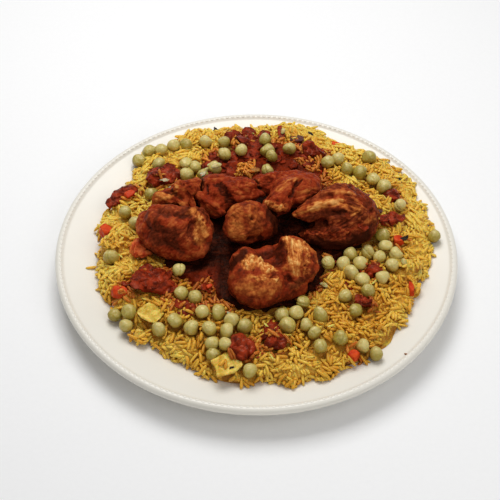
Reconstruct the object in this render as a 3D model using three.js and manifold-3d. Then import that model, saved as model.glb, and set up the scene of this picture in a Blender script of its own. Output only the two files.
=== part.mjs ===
// A dinner plate of yellow rice, sauced chicken, peas, tomato and onion.
// Millimetres, +Z up. The origin is the centre of the plate's foot, on the table. The diner sits at -Y.
import * as THREE from 'three';
import { mergeVertices } from 'three/addons/utils/BufferGeometryUtils.js';
import Module from 'manifold-3d';

const wasm = await Module();
wasm.setup();

// Driving dimensions of the plate
const PLATE_RADIUS = 135;
const PLATE_HEIGHT = 21;
const PLATE_SEGMENTS = 48;
const FOOT_INNER = 76;
const FOOT_OUTER = 83;
const FOOT_HEIGHT = 2.2;
const WELL_FLOOR = 6.4;
const WELL_RADIUS = 80;
const RIM_START = { r: 97, z: 12.2 };
const RIM_THICKNESS = 4;
const LIP_RADIUS = 2.8;
const LIP_STEP = 1.4;

// Driving dimensions of the food
const GAP = 0.4;
const RICE_CROWN = 27.2;
const RICE_EDGE = 3.6;
const GRAIN_BUMP = 2.3;
const GRAIN_SPACING = 8;
const PEA_DIAMETER = 9.4;
const CHICKEN_BASE = 28.5;
const FLESH_RELIEF = 0.9;
const FLESH_MELT = 3;
const SAUCE_RISE = 0.8;
const SAUCE_DEPTH = 3;
const SAUCE_EDGE_DROP = 0.6;
const LEAF_THICKNESS = 1.4;

// Surface colours
const CREAM_GLAZE = new THREE.MeshStandardMaterial({ color: 0xe9e1d3, roughness: 0.25, metalness: 0 });
const YELLOW_RICE = new THREE.MeshStandardMaterial({ color: 0xd9ad3c, roughness: 0.55, metalness: 0 });
const RED_SAUCE = new THREE.MeshStandardMaterial({ color: 0x6e1c12, roughness: 0.35, metalness: 0 });
const SAUCED_CHICKEN = new THREE.MeshStandardMaterial({ color: 0x8c3a1c, roughness: 0.4, metalness: 0 });
const COOKED_PEA = new THREE.MeshStandardMaterial({ color: 0xa3a063, roughness: 0.45, metalness: 0 });
const COOKED_TOMATO = new THREE.MeshStandardMaterial({ color: 0x8a2418, roughness: 0.35, metalness: 0 });
const RED_PEPPER = new THREE.MeshStandardMaterial({ color: 0xc23a1c, roughness: 0.35, metalness: 0 });
const SOFT_ONION = new THREE.MeshStandardMaterial({ color: 0xc9bd62, roughness: 0.3, metalness: 0 });

const plateOfRice = new THREE.Group();

// Seeded random numbers from 0 to 1
function seeded(seed) {
  let state = seed;
  return () => {
    state = (state + 0x6d2b79f5) | 0;
    let mixed = Math.imul(state ^ (state >>> 15), 1 | state);
    mixed = (mixed + Math.imul(mixed ^ (mixed >>> 7), 61 | mixed)) ^ mixed;
    return ((mixed ^ (mixed >>> 14)) >>> 0) / 4294967296;
  };
}

// Value on the broken line through [position, value] pairs
function along(stops, position) {
  const next = stops.findIndex(([place]) => place >= position);
  if (next < 0) return stops.at(-1)[1];
  if (next === 0) return stops[0][1];
  const [from, low] = stops[next - 1];
  const [to, high] = stops[next];
  return THREE.MathUtils.mapLinear(position, from, to, low, high);
}

// A geometry with only its corners, each kept once
function merged(geometry) {
  const bare = geometry.clone();
  bare.deleteAttribute('normal');
  bare.deleteAttribute('uv');
  return mergeVertices(bare, 1e-4);
}

// A geometry as a solid that can be joined and cut
function solidOf(geometry) {
  const { attributes, index } = merged(geometry);
  return new wasm.Manifold(new wasm.Mesh({
    numProp: 3,
    vertProperties: new Float32Array(attributes.position.array),
    triVerts: new Uint32Array(index.array),
  }));
}

// The largest piece of a solid, which leaves out loose scraps
function largest(solid) {
  return solid.decompose().sort((a, b) => b.volume() - a.volume())[0];
}

// A solid back as a named mesh in the group
function addPiece(name, solid, material) {
  const { vertProperties, triVerts } = largest(solid).getMesh();
  const geometry = new THREE.BufferGeometry();
  geometry.setAttribute('position', new THREE.BufferAttribute(new Float32Array(vertProperties), 3));
  geometry.setIndex(new THREE.BufferAttribute(new Uint32Array(triVerts), 1));
  geometry.computeVertexNormals();
  const piece = new THREE.Mesh(geometry, material);
  piece.name = name;
  plateOfRice.add(piece);
}

// The solid without the cutters whose boxes reach it
function cutBy(solid, cutters) {
  return cutters.reduce((left, cutter) => {
    const a = left.boundingBox();
    const b = cutter.boundingBox();
    const apart = [0, 1, 2].some((axis) => a.min[axis] > b.max[axis] || b.min[axis] > a.max[axis]);
    return apart ? left : left.subtract(cutter);
  }, solid);
}

// The plate: a turned section with a foot ring, a shallow well, a sloping rim and a rolled lip
const lipCentre = new THREE.Vector2(PLATE_RADIUS - LIP_RADIUS, PLATE_HEIGHT - LIP_RADIUS);
const plateTopLine = [
  [0, WELL_FLOOR],
  [WELL_RADIUS, WELL_FLOOR],
  [RIM_START.r, RIM_START.z],
  [lipCentre.x - LIP_RADIUS, PLATE_HEIGHT - LIP_STEP],
];

function plateTop(r) {
  return along(plateTopLine, r);
}

function plateGeometry() {
  const footSlope = { inside: 1.5, outside: 3.5 };
  const lip = [-60, 0, 55, 110].map((degrees) => {
    const angle = THREE.MathUtils.degToRad(degrees);
    return [lipCentre.x + LIP_RADIUS * Math.cos(angle), lipCentre.y + LIP_RADIUS * Math.sin(angle)];
  });
  const section = [
    [0, FOOT_HEIGHT],
    [FOOT_INNER - footSlope.inside, FOOT_HEIGHT],
    [FOOT_INNER, 0],
    [FOOT_OUTER, 0],
    [FOOT_OUTER + footSlope.outside, FOOT_HEIGHT + 0.8],
    [RIM_START.r + 1, RIM_START.z - RIM_THICKNESS],
    ...lip,
    ...plateTopLine.toReversed(),
  ];
  const points = section.map(([r, z]) => new THREE.Vector2(r, z));
  return new THREE.LatheGeometry(points, PLATE_SEGMENTS).rotateX(Math.PI / 2);
}

// Loops of points round the Z axis, which need not have the same count, closed into one skin.
// The first and last entries are single points on the axis, at the bottom and at the top.
function skinOf(rings) {
  const positions = [];
  const triangles = [];
  const firstIndex = rings.map((ring) => {
    const first = positions.length / 3;
    ring.forEach((point) => positions.push(point.x, point.y, point.z));
    return first;
  });
  for (let k = 0; k + 1 < rings.length; k += 1) {
    const [below, above] = [rings[k].length, rings[k + 1].length];
    const lower = (i) => firstIndex[k] + (i % below);
    const upper = (j) => firstIndex[k + 1] + (j % above);
    const lowerSteps = below > 1 ? below : 0;
    const upperSteps = above > 1 ? above : 0;
    let [i, j] = [0, 0];
    while (i < lowerSteps || j < upperSteps) {
      const stepLower = j >= upperSteps || (i < lowerSteps && (i + 1) * above <= (j + 1) * below);
      if (stepLower) triangles.push(lower(i), lower(i + 1), upper(j));
      else triangles.push(lower(i), upper(j + 1), upper(j));
      if (stepLower) i += 1;
      else j += 1;
    }
  }
  const geometry = new THREE.BufferGeometry();
  geometry.setAttribute('position', new THREE.Float32BufferAttribute(positions, 3));
  geometry.setIndex(triangles);
  return geometry;
}

function ring(count, radiusAt, heightAt) {
  return Array.from({ length: count }, (_, i) => {
    const angle = (i / count) * 2 * Math.PI;
    const r = radiusAt(angle, i);
    return new THREE.Vector3(r * Math.cos(angle), r * Math.sin(angle), heightAt(r, angle, i));
  });
}

// How far the rice reaches by direction from the plate's centre, in degrees: less to the front left
const riceReach = [
  [0, 117], [6, 117], [12, 121], [23, 122], [35, 125], [46, 122], [55, 120], [64, 121], [73, 125],
  [81, 124], [89, 118], [97, 121], [105, 120], [123, 123], [134, 116], [146, 110], [158, 106],
  [172, 109], [186, 105], [200, 106], [212, 108], [223, 99], [234, 102], [243, 106], [251, 105],
  [258, 113], [265, 112], [272, 109], [286, 112], [293, 118], [302, 109], [310, 117], [320, 113],
  [343, 111], [360, 117],
];

function byDirection(stops, angle) {
  return along(stops, (THREE.MathUtils.radToDeg(angle) + 360) % 360);
}

function riceOutline(angle) {
  return byDirection(riceReach, angle) + 1.1 * Math.sin(9 * angle + 2.1) + 0.8 * Math.sin(17 * angle);
}

// The smooth height of the bed of rice, by the share of the way to its outline
const bedLine = [
  [0, RICE_CROWN],
  [0.58, RICE_CROWN],
  [0.75, RICE_CROWN - 1],
  [0.86, RICE_CROWN - 2.4],
  [0.94, RICE_CROWN - 4.6],
  [1, RICE_CROWN - 8],
];

function bedHeight(x, y) {
  const share = Math.hypot(x, y) / riceOutline(Math.atan2(y, x));
  return along(bedLine, share);
}

// What a piece at that place rests on: the rice, or outside its outline the plate
function restHeight(x, y) {
  const r = Math.hypot(x, y);
  return r < riceOutline(Math.atan2(y, x)) ? bedHeight(x, y) : plateTop(r) + GAP;
}

// The heap of rice: its upper side has bumps of a grain's size, its underside follows the plate
function riceUnderside(edgeCount, ragged) {
  const segments = 36;
  const height = (r) => plateTop(r) + GAP;
  return [
    [new THREE.Vector3(0, 0, height(0))],
    ring(segments, () => WELL_RADIUS, height),
    ring(segments, () => RIM_START.r, height),
    ring(edgeCount, (angle, i) => riceOutline(angle) + ragged[i] - 1, height),
  ];
}

function riceGeometry() {
  const random = seeded(11);
  const bump = (size) => (random() - 0.5) * size;
  const reach = riceReach[0][1];
  const edgeCount = Math.round((2 * Math.PI * reach) / GRAIN_SPACING);
  const ragged = Array.from({ length: edgeCount }, () => bump(2 * GRAIN_BUMP));
  const rings = riceUnderside(edgeCount, ragged);
  const edgeHeight = (r) => plateTop(r) + RICE_EDGE + bump(GRAIN_BUMP);
  rings.push(ring(edgeCount, (angle, i) => riceOutline(angle) + ragged[i], edgeHeight));
  const coarseInside = 62;
  let radius = reach - GRAIN_SPACING;
  while (radius > GRAIN_SPACING) {
    const step = radius > coarseInside ? GRAIN_SPACING : 2 * GRAIN_SPACING;
    const share = radius / reach;
    const count = Math.round((2 * Math.PI * radius) / step);
    const height = (r, angle) => bedHeight(r * Math.cos(angle), r * Math.sin(angle)) + bump(GRAIN_BUMP);
    rings.push(ring(count, (angle) => riceOutline(angle) * share + bump(GRAIN_BUMP), height));
    radius -= step;
  }
  rings.push([new THREE.Vector3(0, 0, RICE_CROWN)]);
  return skinOf(rings);
}

// The red sauce under and behind the chicken, by direction from the plate's centre in degrees
const sauceReach = [
  [0, 74], [30, 74], [50, 70], [62, 90], [75, 101], [95, 102], [112, 90], [126, 70], [150, 64],
  [180, 72], [205, 63], [235, 56], [270, 62], [310, 58], [335, 55], [348, 59], [360, 74],
];

function sauceOutline(angle) {
  return byDirection(sauceReach, angle) + 1.2 * Math.sin(13 * angle);
}

// The sauce, or with margins the room that it takes out of the rice
function sauceGeometry({ above = 0, below = 0, beside = 0 } = {}) {
  const count = 40;
  const outward = (share) => (angle) => sauceOutline(angle) * share + beside;
  const level = (offset) => (r, angle) => bedHeight(r * Math.cos(angle), r * Math.sin(angle)) + offset;
  const top = SAUCE_RISE + above;
  const bottom = SAUCE_RISE - SAUCE_DEPTH - below;
  return skinOf([
    [new THREE.Vector3(0, 0, RICE_CROWN + bottom)],
    ring(count, outward(0.93), level(bottom)),
    ring(count, outward(1), level(-SAUCE_EDGE_DROP)),
    ring(count, outward(0.98), level(top - SAUCE_EDGE_DROP)),
    ring(count, outward(0.86), level(top)),
    ring(count / 2, outward(0.55), level(top)),
    [new THREE.Vector3(0, 0, RICE_CROWN + top)],
  ]);
}

// One ellipsoid of a lump: its centre, its half sizes and its turn in degrees
function lobe(at, half, turn = [0, 0, 0]) {
  const [rx, ry, rz] = turn.map(THREE.MathUtils.degToRad);
  return {
    at: new THREE.Vector3(...at),
    half: new THREE.Vector3(...half),
    unturn: new THREE.Quaternion().setFromEuler(new THREE.Euler(rx, ry, rz, 'ZYX')).invert(),
  };
}

function lobeDistance(point, { at, half, unturn }) {
  const local = point.clone().sub(at).applyQuaternion(unturn);
  const scaled = local.clone().divide(half);
  const k = scaled.length();
  return k < 1e-6 ? -Math.min(half.x, half.y, half.z) : (k * (k - 1)) / scaled.divide(half).length();
}

// The knobbly unevenness of torn, stewed flesh
function fleshRelief({ x, y, z }) {
  return FLESH_RELIEF * Math.sin(x / 2.9 + z / 4) * Math.sin(y / 2.6 + x / 7) * Math.sin(z / 3.1 + y / 6);
}

// Distance to the lobes melted into one lump, less the hollows pressed into it
function lumpDistance(point, { lobes, hollows = [] }) {
  const sum = lobes.reduce((total, part) => total + Math.exp(-lobeDistance(point, part) / FLESH_MELT), 0);
  const body = fleshRelief(point) - FLESH_MELT * Math.log(sum);
  return hollows.reduce((depth, part) => Math.max(depth, -lobeDistance(point, part)), body);
}

// A lump as a solid: each corner of a sphere is drawn in until it meets the surface
function lumpSolid(lump, grow = 0) {
  const reach = 70;
  const closeEnough = 0.02;
  const geometry = new THREE.IcosahedronGeometry(1, lump.detail);
  const corners = geometry.attributes.position;
  const centre = new THREE.Vector3(...lump.centre);
  for (let i = 0; i < corners.count; i += 1) {
    const direction = new THREE.Vector3().fromBufferAttribute(corners, i).normalize();
    const corner = (length) => centre.clone().addScaledVector(direction, length);
    let length = reach;
    let gap = reach;
    while (gap > closeEnough && length > 1) {
      gap = lumpDistance(corner(length), lump) - grow;
      length -= Math.max(gap * 0.7, closeEnough);
    }
    corners.setXYZ(i, ...corner(length).toArray());
  }
  return solidOf(geometry);
}

// The pieces of chicken, the ones that lie on top first
const chickenPieces = [
  {
    name: 'chicken_centre_cut',
    centre: [-6, -2, 42],
    detail: 3,
    lobes: [
      lobe([-9, -4, 43], [13, 10, 14]),
      lobe([-5, 4, 47], [12, 6, 9]),
      lobe([5, 2, 39], [9, 10, 10]),
    ],
  },
  {
    name: 'chicken_drumstick',
    centre: [18, 27, 43],
    detail: 4,
    lobes: [
      lobe([30, 36, 40], [14, 12, 12], [0, 0, 20]),
      lobe([20, 26, 46], [8, 7, 8]),
      lobe([32, 26, 42], [9, 7, 8], [0, 0, 20]),
      lobe([9, 38, 43], [15, 8, 9], [0, 0, 18]),
      lobe([12, 13, 46], [9, 6, 7], [0, 0, 12]),
      lobe([15, 19, 47], [6, 8, 6]),
    ],
  },
  {
    name: 'chicken_left_thigh',
    centre: [-53, -6, 39],
    detail: 4,
    lobes: [
      lobe([-58, -5, 40], [20, 17, 17], [0, 8, 0]),
      lobe([-42, -7, 42], [12, 13, 15], [0, 0, 12]),
      lobe([-40, 3, 46], [12, 6, 8], [0, -12, -32]),
      lobe([-51, -15, 35], [16, 8, 9], [0, 0, -12]),
      lobe([-60, 4, 42], [16, 9, 13]),
    ],
  },
  {
    name: 'chicken_right_thigh',
    centre: [55, 8, 39],
    detail: 4,
    lobes: [
      lobe([60, 12, 42], [18, 15, 16], [0, 0, -12]),
      lobe([39, 11, 46], [18, 7, 6], [0, -8, 20]),
      lobe([53, 20, 45], [16, 7, 13], [0, 0, 12]),
      lobe([69, 11, 38], [12, 13, 12]),
      lobe([56, -3, 34], [18, 8, 8], [0, 0, 10]),
      lobe([39, 0, 34], [12, 7, 6]),
    ],
    hollows: [lobe([36, 1, 41], [15, 6, 2.6], [0, -4, 14])],
  },
  {
    name: 'chicken_front_breast',
    centre: [6, -43, 36],
    detail: 5,
    lobes: [
      lobe([1, -48, 38], [19, 17, 15]),
      lobe([-8, -34, 43], [9, 9, 11]),
      lobe([27, -32, 40], [13, 14, 13]),
      lobe([21, -23, 45], [8, 8, 9]),
      lobe([8, -25, 34], [16, 10, 8]),
    ],
    hollows: [lobe([7, -28, 57], [9, 13, 14])],
  },
  {
    name: 'chicken_back_middle',
    centre: [-19, 30, 38],
    detail: 3,
    lobes: [
      lobe([-23, 31, 38], [14, 12, 12]),
      lobe([-9, 29, 43], [11, 9, 10]),
      lobe([-32, 40, 37], [10, 7, 9]),
      lobe([-31, 18, 37], [11, 5, 6], [0, 8, -42]),
    ],
  },
  {
    name: 'chicken_back_wing',
    centre: [-51, 30, 36],
    detail: 3,
    lobes: [
      lobe([-45, 35, 37], [14, 9, 10], [0, 0, 20]),
      lobe([-64, 27, 35], [9, 7, 8]),
      lobe([-50, 23, 42], [13, 4, 6], [0, -10, -53]),
    ],
  },
];

// Peas as [x, y]. The loose ones lie on the rice, the sauce or the rim, the bedded ones are half in the rice
const loosePlaces = [
  [-61, 90], [-24, 77], [-12, 82], [-30, 63], [-38, 56], [-82, 11],
  [5, 94], [10, 76], [22, 84], [7, 61],
  [50, 73], [63, 66], [81, 57], [98, 33], [120, 10], [86, -7],
  [65, -21], [47, -25], [82, -34], [72, -46], [63, -62],
  [30, -57], [24, -66], [75, -90], [-89, -61], [-50, -33], [-34, -66], [-51, -72], [-19, -90],
];
const beddedPlaces = [
  [-77, 87], [-85, 80], [-70, 87], [-70, 71], [-52, 92], [-38, 95], [-25, 94], [-51, 71], [-44, 67],
  [-50, 58], [-73, 40], [-90, 23], [57, 78], [72, 64], [88, 51], [79, 83], [74, -12], [62, -14],
  [57, -24], [81, -16], [92, -12], [89, -22], [63, -31], [57, -50], [68, -36], [84, 3],
  [17, -67], [41, -66], [20, -75], [32, -74], [-7, -76], [37, -80],
  [53, -83], [40, -90], [67, -87], [-3, -107], [-96, -17], [-48, -50], [-39, -53],
  [-24, -66], [-15, -72], [-82, -62], [-82, -71], [-61, -76], [-40, -77], [-29, -78], [-18, -80],
  [-27, -89], [-26, -96],
];

// How far a pea's middle is above what it lies on, in pea radii
const ON_TOP = 1.05;
const ON_RICE = 0.8;
const IN_RICE = 0.55;

function isOnSauce({ x, y, radius }) {
  return Math.hypot(x, y) < sauceOutline(Math.atan2(y, x)) + radius;
}

function peaHeight(pea) {
  const { x, y, radius, loose } = pea;
  const r = Math.hypot(x, y);
  if (r > riceOutline(Math.atan2(y, x))) return plateTop(r) + ON_TOP * radius;
  if (isOnSauce(pea)) return bedHeight(x, y) + SAUCE_RISE + ON_TOP * radius;
  return bedHeight(x, y) + (loose ? ON_RICE : IN_RICE) * radius;
}

function pushOffChicken(pea, piece) {
  const short = pea.radius + 2 * GAP - lumpDistance(new THREE.Vector3(pea.x, pea.y, pea.z), piece);
  const away = new THREE.Vector2(pea.x - piece.centre[0], pea.y - piece.centre[1]);
  away.setLength(Math.max(0, short / 2));
  pea.x += away.x;
  pea.y += away.y;
}

// Two bedded peas may press into each other, any other two stay apart
function pushApart(pea, other) {
  const apart = new THREE.Vector2(other.x - pea.x, other.y - pea.y);
  const wanted = pea.radius + other.radius + (pea.loose || other.loose ? GAP : -1);
  apart.setLength(Math.max(0, (wanted - apart.length()) / 2));
  pea.x -= apart.x;
  pea.y -= apart.y;
  other.x += apart.x;
  other.y += apart.y;
}

// Every pea with its own size and height, clear of the chicken and of its neighbours
function placedPeas() {
  const rounds = 60;
  const random = seeded(5);
  const size = () => (PEA_DIAMETER / 2) * (0.94 + 0.12 * random());
  const sized = (loose) => ([x, y]) => ({ x, y, loose, radius: size() });
  const peas = [...loosePlaces.map(sized(true)), ...beddedPlaces.map(sized(false))];
  for (let round = 0; round < rounds; round += 1) {
    peas.forEach((pea, i) => {
      pea.z = peaHeight(pea);
      chickenPieces.forEach((piece) => pushOffChicken(pea, piece));
      peas.slice(i + 1).forEach((other) => pushApart(pea, other));
    });
  }
  peas.forEach((pea) => { pea.z = peaHeight(pea); });
  return peas;
}

// A shape at a pea's place, each one rolled another way
function rolled(geometry, { x, y, z }, number) {
  return solidOf(geometry.rotateX(number * 1.3).rotateZ(number * 2.4).translate(x, y, z));
}

function loosePea(pea, number) {
  return rolled(new THREE.SphereGeometry(pea.radius, 6, 5), pea, number);
}

// A bedded pea has twenty faces, and so has the hollow that a loose one lies in
function beddedPea(pea, number) {
  return rolled(new THREE.IcosahedronGeometry(pea.radius * 1.06, 0), pea, number);
}

function peaHollow(pea, number) {
  const cornersToFaces = 0.79;
  return rolled(new THREE.IcosahedronGeometry((pea.radius + GAP) / cornersToFaces, 0), pea, number);
}

// Cooked tomato and pepper: [name, x, y, length, width, height, turn in degrees, material]
const vegetableChunks = [
  ['tomato_back_left', -66, 56, 23, 15, 10, 12, COOKED_TOMATO],
  ['tomato_left_edge', -92, 42, 22, 11, 7, 38, COOKED_TOMATO],
  ['pepper_left_cube', -102, 8, 9, 9, 8, 10, RED_PEPPER],
  ['tomato_left_block', -76, -12, 16, 11, 9, 5, RED_PEPPER],
  ['tomato_left_front', -67, -40, 27, 17, 9, -12, COOKED_TOMATO],
  ['pepper_left_strip', -88, -46, 13, 8, 6, -20, RED_PEPPER],
  ['tomato_front_centre', -8, -92, 16, 15, 9, 30, COOKED_TOMATO],
  ['tomato_front_right', 12, -87, 14, 12, 8, -35, COOKED_TOMATO],
  ['tomato_right_peas', 76, -28, 13, 10, 7, 0, COOKED_TOMATO],
  ['tomato_right_front', 68, -54, 15, 9, 7, -30, COOKED_TOMATO],
  ['pepper_front_right', 61, -92, 8, 8, 7, 20, RED_PEPPER],
  ['pepper_right_edge', 101, -37, 5, 12, 6, 8, RED_PEPPER],
  ['pepper_right', 95, 1, 9, 7, 6, 0, COOKED_TOMATO],
  ['tomato_right', 91, 20, 20, 9, 6, 14, COOKED_TOMATO],
  ['tomato_right_back', 95, 41, 10, 15, 6, 20, COOKED_TOMATO],
  ['tomato_back_right', 40, 85, 15, 11, 7, -15, COOKED_TOMATO],
];

// A soft block: a ball pushed out towards the corners of a square, with uneven corners
function chunkSolid([name, x, y, length, width, height, turn], grow = 0) {
  const sunk = 0.34;
  const blockiness = 0.8;
  const random = seeded(name.length * 97 + Math.round(Math.abs(x)));
  const ball = merged(new THREE.SphereGeometry(1, 7, 5));
  const corners = ball.attributes.position;
  for (let i = 0; i < corners.count; i += 1) {
    const corner = new THREE.Vector3().fromBufferAttribute(corners, i);
    const square = 1 / Math.max(blockiness, Math.abs(corner.x), Math.abs(corner.y));
    corner.multiplyScalar((0.88 + 0.24 * random()) * square);
    corner.multiply(new THREE.Vector3(length / 2 + grow, width / 2 + grow, height / 2 + grow));
    corners.setXYZ(i, ...corner.toArray());
  }
  ball.rotateZ(THREE.MathUtils.degToRad(turn)).translate(x, y, restHeight(x, y) + height * sunk);
  return solidOf(ball);
}

// Soft onion: a thin curled leaf, [name, x, y, length, width, turn, tilt], with both faces split alike
const onionLeaves = [
  ['onion_front', -17, -103, 17, 14, 25, 8],
  ['onion_left', -96, -4, 14, 13, 60, -6],
  ['onion_left_front', -66, -64, 15, 12, -40, 5],
  ['onion_left_edge', -72, -77, 12, 9, -35, 4],
  ['onion_right', 99, -20, 16, 8, -10, -5],
];

// A curled sheet of square cells as the corners of its upper and its lower face
function leafCorners(side, length, width, heights) {
  const corners = [];
  heights.forEach((height) => {
    for (let row = 0; row < side; row += 1) {
      for (let column = 0; column < side; column += 1) {
        const [u, v] = [column / (side - 1) - 0.5, row / (side - 1) - 0.5];
        const curl = 7 * u * u + 3 * v * v + 0.8 * Math.sin(9 * u + 5 * v);
        corners.push(u * length, v * width * (1 - 0.5 * u * u), curl + height);
      }
    }
  });
  return corners;
}

// The triangles of both faces and of the strip round the border
function leafTriangles(side) {
  const cells = side - 1;
  const lower = side * side;
  const triangles = [];
  const border = [];
  for (let row = 0; row < cells; row += 1) {
    for (let column = 0; column < cells; column += 1) {
      const a = row * side + column;
      const [b, c, d] = [a + 1, a + side + 1, a + side];
      triangles.push(a, b, c, a, c, d, lower + a, lower + c, lower + b, lower + a, lower + d, lower + c);
    }
  }
  for (let i = 0; i < cells; i += 1) border.push(i);
  for (let i = 0; i < cells; i += 1) border.push(i * side + cells);
  for (let i = 0; i < cells; i += 1) border.push(side * side - 1 - i);
  for (let i = 0; i < cells; i += 1) border.push((cells - i) * side);
  border.forEach((from, i) => {
    const to = border[(i + 1) % border.length];
    triangles.push(from, lower + from, to, to, lower + from, lower + to);
  });
  return triangles;
}

function leafSolid([, x, y, length, width, turn, tilt], { above = 0, margin = 0 } = {}) {
  const side = 4;
  const lift = 1.2;
  const heights = [LEAF_THICKNESS + above, -margin];
  const corners = leafCorners(side, length + 2 * margin, width + 2 * margin, heights);
  const geometry = new THREE.BufferGeometry();
  geometry.setAttribute('position', new THREE.Float32BufferAttribute(corners, 3));
  geometry.setIndex(leafTriangles(side));
  geometry.rotateX(THREE.MathUtils.degToRad(tilt)).rotateZ(THREE.MathUtils.degToRad(turn));
  geometry.translate(x, y, restHeight(x, y) + lift);
  return solidOf(geometry);
}

// The plate
addPiece('plate', solidOf(plateGeometry()), CREAM_GLAZE);

// The chicken, each piece with a flat underside and clear of the ones above it
const below = 60;
const underside = solidOf(new THREE.BoxGeometry(400, 400, below).translate(0, 0, CHICKEN_BASE - below / 2));
const chickenRoom = [];
chickenPieces.forEach((piece) => {
  addPiece(piece.name, cutBy(lumpSolid(piece), [...chickenRoom, underside]), SAUCED_CHICKEN);
  chickenRoom.push(lumpSolid(piece, GAP));
});

// The loose peas
const peas = placedPeas();
const loosePeas = peas.filter((pea) => pea.loose);
const peaRoom = loosePeas.filter((pea) => !isOnSauce(pea)).map(peaHollow);
loosePeas.forEach((pea, i) => {
  addPiece(`pea_${String(i + 1).padStart(2, '0')}`, loosePea(pea, i), COOKED_PEA);
});

// The tomato and pepper, then the onion
const chunkRoom = [];
vegetableChunks.forEach((chunk) => {
  const clear = cutBy(chunkSolid(chunk), [...chickenRoom, ...peaRoom, ...chunkRoom]);
  addPiece(chunk[0], clear, chunk.at(-1));
  chunkRoom.push(chunkSolid(chunk, GAP));
});
const leafRoom = onionLeaves.map((leaf) => leafSolid(leaf, { above: 4, margin: GAP }));
onionLeaves.forEach((leaf) => {
  addPiece(leaf[0], cutBy(leafSolid(leaf), [...chickenRoom, ...peaRoom, ...chunkRoom]), SOFT_ONION);
});

// The sauce, and last the rice with its bedded peas, cut to clear all that lies on it
const toppingRoom = [...peaRoom, ...chunkRoom, ...leafRoom];
addPiece('sauce', cutBy(solidOf(sauceGeometry()), toppingRoom), RED_SAUCE);
const bedded = peas.filter((pea) => !pea.loose).map(beddedPea);
const heap = bedded.reduce((joined, pea) => joined.add(pea), solidOf(riceGeometry()));
const sauceRoom = solidOf(sauceGeometry({ above: 4, below: GAP, beside: GAP }));
addPiece('rice_bed', cutBy(heap, [sauceRoom, ...toppingRoom]), YELLOW_RICE);

export default plateOfRice;
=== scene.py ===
# %% [markdown]
# # A plate of chicken and yellow rice
# A plate of food is many small wet things on one smooth hard thing. The solids of the plate, the
# chicken, the peas and the vegetables are already in their places, as a plain frame. This lesson
# dresses them: each solid gets a finer piece of the same form, and the heap of rice is laid grain by
# grain. All sizes in the arrays are millimetres, and they turn into metres when a piece is made.

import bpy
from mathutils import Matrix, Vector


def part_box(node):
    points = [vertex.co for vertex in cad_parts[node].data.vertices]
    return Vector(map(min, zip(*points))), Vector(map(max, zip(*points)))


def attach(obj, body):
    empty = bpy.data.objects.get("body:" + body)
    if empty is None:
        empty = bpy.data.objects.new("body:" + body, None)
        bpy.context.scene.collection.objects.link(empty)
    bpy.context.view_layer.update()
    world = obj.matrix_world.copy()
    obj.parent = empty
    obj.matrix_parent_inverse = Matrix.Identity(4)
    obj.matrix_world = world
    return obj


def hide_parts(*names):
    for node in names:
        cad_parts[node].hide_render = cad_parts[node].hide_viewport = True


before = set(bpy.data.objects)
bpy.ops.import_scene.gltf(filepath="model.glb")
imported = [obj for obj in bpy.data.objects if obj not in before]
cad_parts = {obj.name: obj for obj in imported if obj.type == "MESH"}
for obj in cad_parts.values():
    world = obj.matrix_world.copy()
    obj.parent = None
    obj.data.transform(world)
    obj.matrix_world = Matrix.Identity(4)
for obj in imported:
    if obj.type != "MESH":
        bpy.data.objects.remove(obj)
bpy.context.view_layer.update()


# %% Libraries and units
import math
from itertools import product

import bmesh
import bpy
import numpy as np
from mathutils import Euler, Matrix, Quaternion, Vector
from mathutils.bvhtree import BVHTree

MM = 0.001
PLATE_RADIUS = max(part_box("plate")[1]) / MM
PLATE_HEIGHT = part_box("plate")[1].z / MM
print("plate radius and height:", round(PLATE_RADIUS, 2), round(PLATE_HEIGHT, 2))

# %% [markdown]
# ## The camera
# The picture was taken from in front and above, a good arm's length away. A camera can be placed by
# eye, but here the rim of the plate gives it away: a circle of known size shows as one ellipse, and
# only one place, tilt and lens draw that ellipse. So the camera is set from those few numbers.

# %% The camera
PHOTO_SIDE = 500
SENSOR_WIDTH = 36
PHOTO_AXIS = (256.73, 246.83)
FOCAL_PIXELS = 1232.16
CAMERA_DISTANCE = 830
CAMERA_ELEVATION = 47.482
CAMERA_ROLL = 0.841
CAMERA_TARGET = (0, 0, 20)


def place_camera():
    lens = bpy.data.cameras.new("camera")
    lens.sensor_width = SENSOR_WIDTH
    lens.lens = SENSOR_WIDTH * FOCAL_PIXELS / PHOTO_SIDE
    lens.shift_x = (PHOTO_SIDE / 2 - PHOTO_AXIS[0]) / PHOTO_SIDE
    lens.shift_y = (PHOTO_AXIS[1] - PHOTO_SIDE / 2) / PHOTO_SIDE
    camera = bpy.data.objects.new("camera", lens)
    bpy.context.scene.collection.objects.link(camera)
    height = math.radians(CAMERA_ELEVATION)
    back = Vector((0, -math.cos(height), math.sin(height)))
    place = Matrix.Translation((Vector(CAMERA_TARGET) + back * CAMERA_DISTANCE) * MM)
    tilt = Matrix.Rotation(math.radians(90 - CAMERA_ELEVATION), 4, "X")
    roll = Matrix.Rotation(math.radians(CAMERA_ROLL), 4, "Z")
    camera.matrix_world = place @ tilt @ roll
    bpy.context.scene.camera = camera
    return camera


print("camera lens in mm:", round(place_camera().data.lens, 2))

# %% [markdown]
# ## Light
# Food is photographed in soft light, because small hard highlights make it look greasy. A bright
# white room lights every side, and one large lamp behind the plate gives the peas and the sauce their
# shine and puts the shadows in front. The standard view keeps reds as strong as the material says.

# %% Room light and lamps
ROOM_STRENGTH = 0.325
KEY_LAMP = {"at": (-80, 330, 780), "size": 520, "watts": 4.9}
FRONT_LAMP = {"at": (420, -420, 620), "size": 600, "watts": 1.4}


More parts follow.
